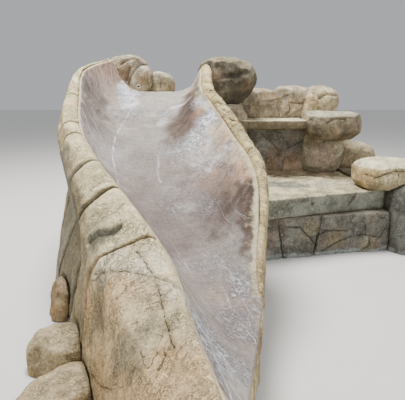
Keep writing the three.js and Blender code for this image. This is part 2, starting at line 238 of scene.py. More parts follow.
def groupNode(tree, group, **values):
    node = addNode(tree, "ShaderNodeGroup", node_tree=group)
    for label, value in values.items():
        feed(tree, value, node.inputs[label.replace("_", " ")])
    return node.outputs


colourSocket = "NodeSocketColor"
valueSocket = "NodeSocketFloat"
vectorSocket = "NodeSocketVector"

# wobblePoint: a point shifted a little by noise, so that nothing drawn from it is ruled straight
wobblePoint, given, made = newGroup("wobblePoint", [
    ("Point", vectorSocket, None), ("Scale", valueSocket, 10.0), ("Amount", valueSocket, 0.05),
], [("Point", vectorSocket)])
shaker = addNode(wobblePoint, "ShaderNodeTexNoise")
shaker.inputs["Detail"].default_value = 3
join(wobblePoint, given["Point"], shaker.inputs["Vector"])
join(wobblePoint, given["Scale"], shaker.inputs["Scale"])
shift = vectorNode(wobblePoint, "SUBTRACT", shaker.outputs["Color"], (0.5, 0.5, 0.5))
shift = vectorNode(wobblePoint, "SCALE", shift, scale=given["Amount"])
join(wobblePoint, vectorNode(wobblePoint, "ADD", given["Point"], shift), made["Point"])

# lineDistance: how far a point is from one straight stretch of a crack
lineDistance, given, made = newGroup("lineDistance", [
    ("Point", vectorSocket, None), ("Start", vectorSocket, None), ("End", vectorSocket, None),
], [("Distance", valueSocket)])
tree = lineDistance
along = vectorNode(tree, "SUBTRACT", given["End"], given["Start"])
toPoint = vectorNode(tree, "SUBTRACT", given["Point"], given["Start"])
share = mathNode(tree, "DIVIDE", vectorNode(tree, "DOT_PRODUCT", toPoint, along),
                 vectorNode(tree, "DOT_PRODUCT", along, along), clamp=True)
nearest = vectorNode(tree, "SCALE", along, scale=share)
join(tree, vectorNode(tree, "DISTANCE", toPoint, nearest), made["Distance"])

# roundSpot: a soft patch round a centre, broken up at its edge
roundSpot, given, made = newGroup("roundSpot", [
    ("Point", vectorSocket, None), ("Centre", vectorSocket, None), ("Radius", valueSocket, 0.2),
], [("Mask", valueSocket)])
tree = roundSpot
away = vectorNode(tree, "DISTANCE", given["Point"], given["Centre"])
away = mathNode(tree, "DIVIDE", away, given["Radius"])
ragged = noiseNode(tree, given["Point"], 15, 4, 0.65)
away = mathNode(tree, "ADD", away, times(tree, centred(tree, ragged), 1.1))
join(tree, flip(tree, rampNode(tree, away, 0.35, 1.0)), made["Mask"])

# stainedMortar: the clouded colours of carved and washed mortar
stainedMortar, given, made = newGroup("stainedMortar", [
    ("Point", vectorSocket, None),
    ("Light", colourSocket, (0.6, 0.5, 0.35, 1)),
    ("Body", colourSocket, (0.4, 0.33, 0.22, 1)),
    ("Dark", colourSocket, (0.12, 0.1, 0.07, 1)),
    ("Ochre", colourSocket, (0.42, 0.26, 0.12, 1)),
    ("Ochre Amount", valueSocket, 0.4),
    ("Wash", valueSocket, 0.5),
], [("Colour", colourSocket)])
tree = stainedMortar
point = given["Point"]
patches = rampNode(tree, noiseNode(tree, point, 1.9, 6, 0.62, 0.5), 0.38, 0.62)
blotches = rampNode(tree, noiseNode(tree, point, 7.5, 7, 0.7, 0.6), 0.42, 0.58)
rust = rampNode(tree, noiseNode(tree, point, 2.8, 6, 0.64, 0.9), 0.47, 0.68)
colour = mixColour(tree, patches, given["Body"], given["Light"])
colour = mixColour(tree, times(tree, rust, given["Ochre Amount"]), colour, given["Ochre"])
colour = mixColour(tree, times(tree, flip(tree, blotches), given["Wash"], 0.8), colour, given["Dark"])
join(tree, colour, made["Colour"])

# mortarGrain: how light its mottle and grit are, and the lines and pits left by knife and sponge
mortarGrain, given, made = newGroup("mortarGrain", [
    ("Point", vectorSocket, None), ("Hairlines", valueSocket, 0.5), ("Crinkle", valueSocket, 0.5),
], [("Shade", valueSocket), ("Lines", valueSocket), ("Height", valueSocket)])
tree = mortarGrain
point = given["Point"]
mottle = noiseNode(tree, point, 24, 6, 0.78, 0.4)
grit = noiseNode(tree, point, 66, 3, 0.8)
join(tree, times(tree, rampNode(tree, mottle, 0.38, 0.62, 0.72, 1.24, False),
                 rampNode(tree, grit, 0.36, 0.64, 0.74, 1.22, False)), made["Shade"])
hairline = creases(tree, noiseNode(tree, point, 4.6, 5, 0.55, 1.1), 0.002, 0.014)
hairline = times(tree, hairline, rampNode(tree, noiseNode(tree, point, 3.1), 0.46, 0.58))
scratch = addNode(tree, "ShaderNodeTexVoronoi", feature="DISTANCE_TO_EDGE")
scratch.inputs["Scale"].default_value = 8.5
bent = groupNode(tree, wobblePoint, Point=point, Scale=5.0, Amount=0.14)["Point"]
join(tree, bent, scratch.inputs["Vector"])
crazing = flip(tree, rampNode(tree, scratch.outputs["Distance"], 0.006, 0.03))
crazing = times(tree, crazing, rampNode(tree, noiseNode(tree, point, 2.3, 4, 0.6), 0.5, 0.62), 0.8)
# short crooked wrinkles, as a crumpled sheet leaves them
wrinkle = times(tree, creases(tree, noiseNode(tree, point, 27, 3, 0.6, 1.8), 0.008, 0.045),
                rampNode(tree, noiseNode(tree, point, 6, 4, 0.6), 0.4, 0.6), given["Crinkle"])
lines = times(tree, mathNode(tree, "MAXIMUM", hairline, crazing), given["Hairlines"])
lines = mathNode(tree, "MAXIMUM", lines, wrinkle)
pits = times(tree, rampNode(tree, noiseNode(tree, point, 52, 2, 0.6), 0.6, 0.7),
             rampNode(tree, mottle, 0.42, 0.6), 0.6)
lines = mathNode(tree, "MAXIMUM", lines, pits)
join(tree, lines, made["Lines"])
height = mathNode(tree, "ADD", times(tree, mottle, 0.9), times(tree, grit, 0.35))
join(tree, mathNode(tree, "SUBTRACT", height, times(tree, lines, 0.5)), made["Height"])

# weathered: tops lighter, partly sun bleaching and partly painted light from above; painted shade on
# undersides and in hollows; painted highlight on crests; drips; dark joints with a soft halo that is partly
# dirt and partly painted shade
weathered, given, made = newGroup("weathered", [
    ("Colour", colourSocket, None), ("Facing", vectorSocket, None), ("Relief", valueSocket, 0.5),
    ("Joint", valueSocket, 1.0), ("Point", vectorSocket, None), ("Top", colourSocket, None),
    ("Dark", colourSocket, None), ("Deep", colourSocket, None), ("Bleach", valueSocket, 0.5),
    ("Dirt", valueSocket, 0.5), ("Drips", valueSocket, 0.4), ("Joint Dark", valueSocket, 0.8),
], [("Colour", colourSocket)])
tree = weathered
split = addNode(tree, "ShaderNodeSeparateXYZ")
join(tree, given["Facing"], split.inputs[0])
facing = split.outputs["Z"]
cloud = noiseNode(tree, given["Point"], 9, 5, 0.65)
lifted = mathNode(tree, "ADD", facing, times(tree, centred(tree, cloud), 0.8))
# tops painted lighter: partly sun bleaching, partly painted light from above
bleachAndTopLight = times(tree, rampNode(tree, lifted, 0.3, 0.95), given["Bleach"])
colour = mixColour(tree, bleachAndTopLight, given["Colour"], given["Top"])
# undersides painted dark: painted shade under the stone
under = flip(tree, rampNode(tree, lifted, -0.75, 0.1))
colour = mixColour(tree, times(tree, under, 0.6), colour, given["Dark"])
# crests painted lighter as highlight and hollows painted darker as shade, both read from the relief
crest = rampNode(tree, given["Relief"], 0.55, 0.85)
colour = mixColour(tree, times(tree, crest, 0.3), colour, given["Top"])
hollow = flip(tree, rampNode(tree, given["Relief"], 0.15, 0.48))
colour = mixColour(tree, times(tree, hollow, given["Dirt"]), colour, given["Dark"])
steep = flip(tree, mathNode(tree, "ABSOLUTE", facing))
drips = addNode(tree, "ShaderNodeMapping")
drips.inputs["Scale"].default_value = (15, 15, 2.4)
join(tree, given["Point"], drips.inputs["Vector"])
drip = noiseNode(tree, drips.outputs[0], 1.0, 6, 0.72, 0.4)
dripDark = times(tree, flip(tree, rampNode(tree, drip, 0.4, 0.56)),
                 rampNode(tree, steep, 0.35, 0.8), given["Drips"])
colour = mixColour(tree, dripDark, colour, given["Dark"])
# a soft darkening round each joint, partly dirt and partly painted shade of the crevice; the seam below is
# the dark joint itself
halo = flip(tree, rampNode(tree, given["Joint"], 0.05, 0.8))
halo = times(tree, halo, rampNode(tree, cloud, 0.35, 0.6, 0.3, 1.0))
colour = mixColour(tree, times(tree, halo, given["Joint Dark"], 0.55), colour, given["Dark"])
seam = flip(tree, rampNode(tree, given["Joint"], 0.025, 0.085))
colour = mixColour(tree, times(tree, seam, given["Joint Dark"], 0.8), colour, given["Deep"])
join(tree, colour, made["Colour"])
print("node groups built")


def paint(*shades):
    # red, green and blue as a paint shop names them, 0 to 255, made linear
    return tuple(((shade / 255 + 0.055) / 1.055) ** 2.4 for shade in shades) + (1,)


def toned(colour, tone):
    return tuple(shade * change for shade, change in zip(colour[:3], tone)) + (1,)


def newMaterial(name, rough):
    material = bpy.data.materials.new(name)
    material.use_nodes = True
    shader = material.node_tree.nodes["Principled BSDF"]
    shader.inputs["Roughness"].default_value = rough
    shader.inputs["Specular IOR Level"].default_value = 0.25
    return material, material.node_tree, shader


def bumpFrom(tree, shader, height, distance):
    bump = addNode(tree, "ShaderNodeBump")
    bump.inputs["Strength"].default_value = 1.0
    bump.inputs["Distance"].default_value = distance
    join(tree, height, bump.inputs["Height"])
    join(tree, bump.outputs["Normal"], shader.inputs["Normal"])


def nearestLine(tree, point, lines):
    nearest = None
    for line in lines:
        for start, end in zip(line, line[1:]):
            stretch = groupNode(tree, lineDistance, Point=point, Start=start, End=end)["Distance"]
            nearest = stretch if nearest is None else mathNode(tree, "MINIMUM", nearest, stretch)
    return nearest


def attributeNode(tree, name):
    return addNode(tree, "ShaderNodeAttribute", attribute_name=name).outputs


def stoneMaterial(name, look):
    material, tree, shader = newMaterial(name, 0.9)
    place = addNode(tree, "ShaderNodeTexCoord").outputs
    point = place["Object"]
    drawn = attributeNode(tree, "drawn")["Vector"]
    shades = {key: toned(look[key], look["tone"]) for key in finishes["cream"]}
    grain = groupNode(tree, mortarGrain, Point=point, Hairlines=look["hairlines"], Crinkle=look["crinkle"])
    height = grain["Height"]
    colour = groupNode(
        tree, stainedMortar, Point=point, Light=shades["light"], Body=shades["body"], Dark=shades["dark"],
        Ochre=shades["ochre"], Ochre_Amount=look["rust"], Wash=look["wash"])["Colour"]
    colour = groupNode(
        tree, weathered, Colour=colour, Facing=place["Normal"], Relief=attributeNode(tree, "relief")["Fac"],
        Joint=attributeNode(tree, "joint")["Fac"], Point=point, Top=shades["top"], Dark=shades["dark"],
        Deep=shades["deep"], Bleach=look["bleachAndTopLight"], Dirt=look["dirt"], Drips=look["drips"],
        Joint_Dark=look["jointDark"])["Colour"]
    upright = addNode(tree, "ShaderNodeSeparateXYZ")
    join(tree, place["Normal"], upright.inputs[0])
    cloud = noiseNode(tree, point, 6, 5, 0.65)
    if look.get("side"):
        # steep faces take a colour of their own: on most stones a darker one, painted shade of faces that the
        # light from above reaches less; on a few a tint of the stone itself
        steep = flip(tree, mathNode(tree, "ABSOLUTE", upright.outputs["Z"]))
        ragged = mathNode(tree, "ADD", steep, times(tree, centred(tree, cloud), 0.5))
        tint, amount = look["side"]
        colour = mixColour(tree, times(tree, rampNode(tree, ragged, 0.25, 0.7), amount), colour, paint(*tint))
    loose = groupNode(tree, wobblePoint, Point=drawn, Scale=7.0, Amount=0.1)["Point"]
    for centre, radius, tint, amount in look.get("spots", ()):
        mask = groupNode(tree, roundSpot, Point=loose, Centre=centre, Radius=radius)["Mask"]
        mask = times(tree, mask, rampNode(tree, cloud, 0.3, 0.55, 0.55, 1.0), amount)
        colour = mixColour(tree, mask, colour, toned(paint(*tint), (look["spotTone"],) * 3))
    shaded = mixColour(tree, 1.0, colour, grain["Shade"], "MULTIPLY")
    colour = mixColour(tree, look["grain"], colour, shaded)
    colour = mixColour(tree, times(tree, grain["Lines"], look["lineDark"]), colour, shades["dark"])
    if look.get("cracks"):
        crooked = groupNode(tree, wobblePoint, Point=drawn, Scale=20.0, Amount=0.026)["Point"]
        away = nearestLine(tree, crooked, look["cracks"])
        halo = flip(tree, rampNode(tree, away, 0.0, 0.03))
        colour = mixColour(tree, times(tree, halo, 0.3), colour, shades["dark"])
        broken = rampNode(tree, noiseNode(tree, point, 17, 3, 0.6), 0.36, 0.56, 0.35, 1.0)
        crack = times(tree, flip(tree, rampNode(tree, away, 0.0, look["crackWidth"])), broken)
        colour = mixColour(tree, times(tree, crack, look["crackDark"]), colour, shades["deep"])
        height = mathNode(tree, "SUBTRACT", height, crack)
    if look.get("waterline"):
        # lime left by the water along its surface
        level = addNode(tree, "ShaderNodeSeparateXYZ")
        join(tree, loose, level.inputs[0])
        band = rampNode(tree, level.outputs["Z"], look["waterline"], look["waterline"] - 0.025)
        band = times(tree, band, rampNode(tree, noiseNode(tree, point, 14), 0.3, 0.55), 0.8)
        colour = mixColour(tree, band, colour, paint(158, 164, 160))
    join(tree, colour, shader.inputs["Base Color"])
    bumpFrom(tree, shader, height, 0.02)
    return material


# finishes of the carved mortar; each family of stones starts from one of them
finishes = {
    "cream": {"light": paint(212, 196, 158), "body": paint(190, 170, 130), "dark": paint(104, 92, 68),
              "ochre": paint(200, 152, 104), "top": paint(224, 212, 180), "deep": paint(58, 47, 34)},
    "brown": {"light": paint(184, 170, 144), "body": paint(158, 142, 116), "dark": paint(94, 84, 68),
              "ochre": paint(176, 138, 102), "top": paint(196, 184, 158), "deep": paint(50, 42, 33)},
    "dusk": {"light": paint(140, 132, 118), "body": paint(116, 108, 95), "dark": paint(70, 66, 58),
             "ochre": paint(136, 112, 90), "top": paint(164, 152, 130), "deep": paint(36, 32, 27)},
}
# what every stone has, unless its family or the stone itself says otherwise
plainLook = {"rust": 0.4, "wash": 0.5, "hairlines": 0.8, "grain": 1.0, "bleachAndTopLight": 0.5, "dirt": 0.6,
             "drips": 0.4, "crinkle": 0.7, "lineDark": 0.6, "spotTone": 1.0, "jointDark": 0.7,
             "crackWidth": 0.0055, "crackDark": 0.7, "tone": (1, 1, 1)}
plainShape = {
    "voxel": 0.0166,
    "smooth": 6,  # rounds of smoothing
    "seat": 0.035,  # the solid's own shape fades back in this near to another part
    "groove": 0.004,  # depth of the joints; below zero they are filled up
    "grooveWidth": 0.012,
    "swell": 0.0015,
    "spread": 0,  # how far the stone reaches into its neighbours
    "crackDepth": 0.005,
    "crackReach": 0.012,
    "lumps": ((0.38, 0.035), (0.13, 0.016), (0.05, 0.006)),  # size and height of each
}
carving = {
    "jointReach": 0.06,  # how far from a joint its dark seam and the soft darkening round it, partly painted shade, are felt
    "foot": 0.15,  # stones that stand at the waterline are carved this far below it, then cut
    "fadeSteps": 10,
    "leastFree": 0.1,
    "freeStep": 0.09,
    "shave": 0.85,  # share of the stone past a flat face that goes
    "slantDepth": 0.16,
    "spreadReach": 0.03,
}
print("finishes mixed")


def addLumps(piece, name, lumps, **values):
    for size, height in lumps:
        texture = bpy.data.textures.new(name, "CLOUDS")
        texture.noise_scale = size
        texture.noise_depth = 2
        applyModifier(piece, "DISPLACE", texture=texture, texture_coords="LOCAL",
                      strength=height, mid_level=0.5, **values)


def mergedCopy(nodeName, pieceName):
    piece = bpy.data.objects.new(pieceName, nodes[nodeName].data.copy())
    piece.data.name = pieceName
    piece.data.materials.clear()
    bpy.context.scene.collection.objects.link(piece)
    makeActive(piece)
    bpy.ops.object.mode_set(mode="EDIT")
    bpy.ops.mesh.select_all(action="SELECT")
    bpy.ops.mesh.remove_doubles(threshold=0.0002)
    bpy.ops.object.mode_set(mode="OBJECT")
    return piece


def selectFaces(piece, test):
    # call in object mode; leaves edit mode on with the chosen faces selected
    makeActive(piece)
    bpy.ops.object.mode_set(mode="EDIT")
    bpy.ops.mesh.select_mode(type="FACE")
    bpy.ops.mesh.select_all(action="DESELECT")
    bpy.ops.object.mode_set(mode="OBJECT")
    for face in piece.data.polygons:
        face.select = test(face)
    bpy.ops.object.mode_set(mode="EDIT")


def readRows(rows, label):
    values = np.empty(len(rows) * 3)
    rows.foreach_get(label, values)
    return values.reshape(-1, 3)


def readPlaces(piece):
    return readRows(piece.data.vertices, "co")


def readNormals(piece):
    return readRows(piece.data.vertex_normals, "vector")


def writePlaces(piece, spots, lowest=0):
    # carving never reaches past the box of the solids
    low, high = (np.array(corner) for corner in cadBox)
    low[2] = lowest
    piece.data.vertices.foreach_set("co", np.clip(spots, low, high).ravel())
    piece.data.update()


def storeValues(piece, label, values):
    layer = piece.data.attributes.new(label, "FLOAT", "POINT")
    layer.data.foreach_set("value", values)


def storeVectors(piece, label, values):
    layer = piece.data.attributes.new(label, "FLOAT_VECTOR", "POINT")
    layer.data.foreach_set("vector", np.asarray(values).ravel())


trees = {}
corners = {}
for name, node in nodes.items():
    points = [v.co.copy() for v in node.data.vertices]
    trees[name] = BVHTree.FromPolygons(points, [tuple(p.vertices) for p in node.data.polygons])
    corners[name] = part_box(name)
cores = ("concrete_core", "landing_base", "shelf_core")
smoothParts = ("slide_chute", *cores, "water_inlet_fitting")


def reachTo(spots, names, reach):
    # how far each point is from the nearest of the named nodes, up to the reach
    away = np.full(len(spots), reach)
    for name in names:
        low, high = corners[name]
        near = np.all((spots > np.array(low) - reach) & (spots < np.array(high) + reach), axis=1)
        for i in np.nonzero(near)[0]:
            distance = trees[name].find_nearest(Vector(spots[i]), away[i])[3]
            if distance is not None:
                away[i] = distance
    return away


def lineReach(spots, lines):
    nearest = np.full(len(spots), 9.0)
    for line in lines:
        for start, end in zip(np.array(line[:-1]), np.array(line[1:])):
            run = end - start
            share = np.clip((spots - start) @ run / (run @ run), 0, 1)
            nearest = np.minimum(nearest, np.linalg.norm(spots - start - share[:, None] * run, axis=1))
    return nearest


def flattened(spots, facets):
    # shaves off most of what stands past each flat face
    for place, normal in facets:
        normal = np.array(normal) / np.linalg.norm(normal)
        past = np.maximum((spots - np.array(place)) @ normal, 0)
        spots = spots - carving["shave"] * past[:, None] * normal
    return spots


def slanted(spots, front):
    # draws the front face onto one line in plan, and leaves the back where it is
    own = spots[:, 1].min()
    target = np.interp(spots[:, 0], [x for x, y in front], [y for x, y in front])
    fade = np.clip(1 - (spots[:, 1] - own) / carving["slantDepth"], 0, 1)
    moved = spots.copy()
    moved[:, 1] += (target - own) * fade
    return moved


def lowerFoot(stone):
    selectFaces(stone, lambda face: face.normal.z < -0.9 and face.center.z < 0.002)
    bpy.ops.mesh.extrude_region_move(TRANSFORM_OT_translate={"value": (0, 0, -carving["foot"])})
    bpy.ops.object.mode_set(mode="OBJECT")


def cutAtWater(stone):
    makeActive(stone)
    bpy.ops.object.mode_set(mode="EDIT")
    bpy.ops.mesh.select_all(action="SELECT")
    bpy.ops.mesh.bisect(plane_co=(0, 0, 0), plane_no=(0, 0, 1), use_fill=True, clear_inner=True)
    bpy.ops.object.mode_set(mode="OBJECT")
    writePlaces(stone, readPlaces(stone))


def bell(away, reach):
    # 1 at no distance, soon fading to nothing past the reach
    return np.exp(-(away / reach) ** 2)


def triangleCount(piece):
    return sum(len(face.vertices) - 2 for face in piece.data.polygons)


def carve(nodeName, pieceName, shape, look):
    # rounds the solid's free edges, roughens and grooves its faces and paints it
    stone = mergedCopy(nodeName, pieceName)
    standing = corners[nodeName][0][2] < 0.001
    if standing:
        lowerFoot(stone)
    applyModifier(stone, "REMESH", mode="VOXEL", voxel_size=shape["voxel"])
    drawn = readPlaces(stone)
    others = [name for name in nodes if name != nodeName]
    reach = carving["jointReach"]
    toStone = reachTo(drawn, [name for name in others if name not in smoothParts], reach)
    toAny = np.minimum(toStone, reachTo(drawn, [name for name in others if name in smoothParts], reach))
    storeVectors(stone, "drawn", drawn)
    storeValues(stone, "joint", toStone / reach)
    # a stone keeps its shape where it meets another part
    free = np.clip(toAny / shape["seat"], 0, 1)
    group = stone.vertex_groups.new(name="free")
    steps = carving["fadeSteps"]
    for step in range(steps + 1):
        chosen = np.nonzero(np.round(free * steps) == step)[0].tolist()
        group.add(chosen, carving["leastFree"] + carving["freeStep"] * step, "REPLACE")
    applyModifier(stone, "SMOOTH", factor=0.5, iterations=shape["smooth"], vertex_group="free")
    applyModifier(stone, "SMOOTH", factor=0.5, iterations=1)
    if shape.get("facets"):
        writePlaces(stone, flattened(readPlaces(stone), shape["facets"]), -1)
        applyModifier(stone, "SMOOTH", factor=0.5, iterations=2)
    if shape.get("front"):
        writePlaces(stone, slanted(readPlaces(stone), shape["front"]), -1)
    smoothed = readPlaces(stone)
    normals = readNormals(stone)
    addLumps(stone, pieceName + "Lumps", shape["lumps"], vertex_group="free")
    total = sum(height for size, height in shape["lumps"])
    spots = readPlaces(stone)
    # relief: how far the lumps stand out; the shader paints highlight on its crests and shade in its hollows
    relief = ((spots - smoothed) * normals).sum(axis=1) / total + 0.5
    steep = 1 - np.abs(normals[:, 2])
    depth = shape["groove"] * (0.4 + 1.4 * steep) * bell(toStone, shape["grooveWidth"])
    if look.get("cracks"):
        cut = bell(lineReach(drawn, look["cracks"]), shape["crackReach"])
        depth = np.maximum(depth, shape["crackDepth"] * cut)
    for line, width, deep in shape.get("furrows", ()):
        cut = bell(lineReach(drawn, [line]), width)
        depth = np.maximum(depth, deep * cut)
        # the furrow is also painted dark through the relief, as a painted shadow line
        relief = relief - 0.6 * cut
    for centre, radius, deep in shape.get("hollows", ()):
        bowl = bell(np.linalg.norm(drawn - np.array(centre), axis=1), radius)
        depth = depth + deep * bowl
        # dents are painted darker and bulges lighter through the relief: painted shade and highlight
        relief = relief - np.sign(deep) * 0.25 * bowl
    storeValues(stone, "relief", relief)
    # a stone of one continuous wall reaches a little into the next
    lean = np.sign(drawn[:, 0] - drawn[:, 0].mean()) * bell(toStone, carving["spreadReach"])
    spots[:, 0] += shape["spread"] * lean
    writePlaces(stone, spots + normals * (shape["swell"] - depth[:, None]), -1)
    if standing:
        cutAtWater(stone)
    makeActive(stone)
    bpy.ops.object.shade_smooth()
    stone.data.materials.append(stoneMaterial(pieceName + "Finish", look))
    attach(stone, "root")
    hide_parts(nodeName)
    return stone


def carveFamily(family):
    count = 0
    for nodeName, own in family["stones"].items():
        shape = dict(plainShape, **family["shape"])
        shape.update(own.get("shape", {}))
        finish = finishes[own.get("finish", family["finish"])]
        look = dict(plainLook, slot=family["slot"], **finish)
        look.update(family.get("look", {}))
        look.update(own.get("look", {}))
        pieceName = "carved" + "".join(word.title() for word in nodeName.split("_"))
        stone = carve(nodeName, pieceName, shape, look)
        count += triangleCount(stone)
    print(family["name"], "carved,", len(family["stones"]), "stones,", count, "triangles")


# the wall of big stones on the left of the chute
copingLumps = ((0.3, 0.014), (0.09, 0.007))
leftWall = {
    "name": "left wall",
    "slot": "tan_stone",
    "finish": "cream",
    "shape": {"groove": 0.006, "grooveWidth": 0.010, "smooth": 3},
    "look": {"rust": 0.35, "bleachAndTopLight": 0.9, "tone": (1.36, 1.36, 1.22), "drips": 0.55},
    "stones": {
        "left_coping_stone_1": {
            "shape": {"voxel": 0.0154, "lumps": copingLumps},
            "look": {"spots": [
                ((-1.85, 1.66, 2.04), 0.24, (190, 178, 162), 0.8),
                ((-1.78, 1.79, 2.09), 0.20, (188, 172, 154), 0.8),
            ]}},
        "left_coping_stone_2": {
            "shape": {"voxel": 0.0141, "lumps": copingLumps},
            "look": {"spots": [((-1.79, 0.39, 1.6), 0.16, (206, 168, 132), 0.6)]}},
        "left_coping_stone_3": {"shape": {"voxel": 0.0141, "lumps": copingLumps}},
        "left_side_stone_1": {"finish": "brown", "shape": {"voxel": 0.0218}},
        "left_side_stone_2": {"finish": "brown", "shape": {"voxel": 0.0192}},
        "left_side_stone_3": {"look": {"side": ((146, 143, 132), 0.7)}},
        "left_side_stone_4": {
            "shape": {
                "voxel": 0.016, "groove": 0.014, "grooveWidth": 0.02, "crackDepth": 0.004, "crackReach": 0.01,
                "furrows": [([(-1.622, -0.305, 0.849), (-1.678, -0.301, 0.589)], 0.03, 0.03)]},
            "look": {"crinkle": 1.0, "crackDark": 0.6, "side": ((124, 118, 102), 0.7), "cracks": [
                [(-1.309, -0.821, 1.053), (-1.25, -0.80, 1.09), (-1.18, -0.79, 1.11)],
                [(-1.33, -0.89, 1.02), (-1.26, -0.87, 1.06), (-1.16, -0.86, 1.09)]]}},
        "left_side_stone_5": {
            "shape": {
                "voxel": 0.0147, "groove": 0.012, "grooveWidth": 0.018,
                "furrows": [([(-1.245, -1.195, 0.809), (-1.214, -1.198, 0.849), (-1.181, -1.194, 0.866),
                              (-1.134, -1.21, 0.878), (-1.084, -1.216, 0.895), (-1.056, -1.203, 0.914)],
                             0.017, 0.032)],
                "hollows": [((-1.15, -1.17, 0.93), 0.07, -0.018)]},
            "look": {"crinkle": 1.0, "hairlines": 1.1, "spots": [
                # these two darkest spots lie under the overhanging rib: painted shadow along the furrow
                ((-1.19, -1.21, 0.85), 0.09, (106, 110, 100), 0.85),
                ((-1.09, -1.21, 0.895), 0.08, (112, 116, 108), 0.85),
                ((-1.22, -1.10, 0.90), 0.14, (176, 164, 132), 0.7),
                ((-1.17, -1.24, 0.83), 0.13, (150, 148, 132), 0.6),
                ((-1.25, -1.33, 0.50), 0.16, (206, 168, 128), 0.6),
            ], "side": ((164, 150, 124), 0.55), "cracks": [
                [(-1.122, -1.079, 0.952), (-1.074, -1.059, 0.985), (-1.053, -1.035, 1.005)],
            ]}},
        "left_side_stone_6": {
            "shape": {
                "voxel": 0.0115, "groove": 0.005, "crackDepth": 0.006,
                "lumps": ((0.5, 0.04), (0.17, 0.024), (0.055, 0.012)),
                "furrows": [
                    ([(-1.233, -1.377, 0.524), (-1.253, -1.369, 0.356), (-1.27, -1.368, 0.22)], 0.024, 0.022),
                    ([(-0.74, -2.14, 0.70), (-0.70, -2.175, 0.716), (-0.666, -2.185, 0.732)], 0.010, 0.012),
                ],
                "hollows": [
                    ((-1.139, -1.539, 0.612), 0.10, 0.022),
                    ((-1.133, -1.603, 0.53), 0.10, 0.03),
                    ((-1.091, -1.715, 0.496), 0.09, 0.025),
                    ((-1.10, -1.53, 0.725), 0.07, 0.02),
                    ((-0.70, -2.13, 0.75), 0.04, -0.012),
                ]},
            "look": {
                "rust": 0.6, "crinkle": 1.0, "hairlines": 1.2, "grain": 1.2, "lineDark": 0.8, "bleachAndTopLight": 0.75,
                "tone": (1.46, 1.43, 1.27), "side": ((222, 194, 150), 0.5), "spotTone": 1.25,
                "spots": [
                    ((-0.98, -1.72, 0.74), 0.24, (216, 182, 138), 0.75),
                    ((-0.78, -1.85, 0.78), 0.26, (196, 178, 146), 0.7),
                    ((-0.90, -2.05, 0.54), 0.26, (208, 174, 126), 0.75),
                    ((-1.06, -1.80, 0.35), 0.26, (210, 172, 122), 0.75),
                    ((-0.71, -2.24, 0.69), 0.24, (212, 178, 130), 0.75),
                    ((-0.62, -2.35, 0.72), 0.26, (208, 176, 136), 0.7),
                    ((-1.20, -1.43, 0.45), 0.16, (216, 180, 132), 0.7),
                    # these two sit in the hollows below the crack: painted shade
                    ((-1.13, -1.60, 0.53), 0.13, (138, 122, 100), 0.65),
                    ((-1.12, -1.53, 0.71), 0.08, (150, 140, 116), 0.6),
                    ((-0.84, -2.06, 0.70), 0.19, (142, 136, 114), 0.75),
                    ((-0.70, -2.03, 0.76), 0.14, (150, 138, 112), 0.6),
                    ((-0.63, -2.12, 0.78), 0.10, (146, 130, 104), 0.5),
                    ((-0.95, -2.0, 0.60), 0.14, (148, 138, 114), 0.6),
                    # the lightest spots run along the top: partly bleaching, partly painted highlight on the
                    # rounded top
                    ((-1.06, -1.46, 0.80), 0.18, (224, 214, 190), 0.75),
                    ((-0.83, -1.58, 0.85), 0.18, (234, 224, 198), 0.85),
                    ((-0.66, -1.80, 0.83), 0.16, (232, 218, 188), 0.8),
                    ((-0.55, -2.10, 0.80), 0.16, (224, 206, 168), 0.7),
                ],
                "cracks": [
                    [(-1.151, -1.444, 0.72), (-1.096, -1.499, 0.757), (-1.014, -1.549, 0.783),
                     (-0.938, -1.589, 0.798), (-0.887, -1.621, 0.807), (-0.807, -1.689, 0.817),
                     (-0.775, -1.712, 0.823), (-0.727, -1.757, 0.829), (-0.678, -1.792, 0.82)],
                    [(-0.916, -1.458, 0.857), (-0.867, -1.533, 0.846), (-0.8, -1.683, 0.822),
                     (-0.777, -1.737, 0.814), (-0.743, -1.894, 0.784), (-0.715, -1.991, 0.768),
                     (-0.679, -2.102, 0.755), (-0.66, -2.164, 0.743)],
                    [(-1.18, -1.57, 0.18), (-1.127, -1.681, 0.235), (-1.061, -1.807, 0.288),
                     (-0.942, -2.022, 0.448)],
                    [(-1.171, -1.548, 0.43), (-1.187, -1.527, 0.354), (-1.175, -1.562, 0.308)],
                ],
            }},
        "exit_sill_stone": {"shape": {"voxel": 0.0179}},
    },
}
carveFamily(leftWall)

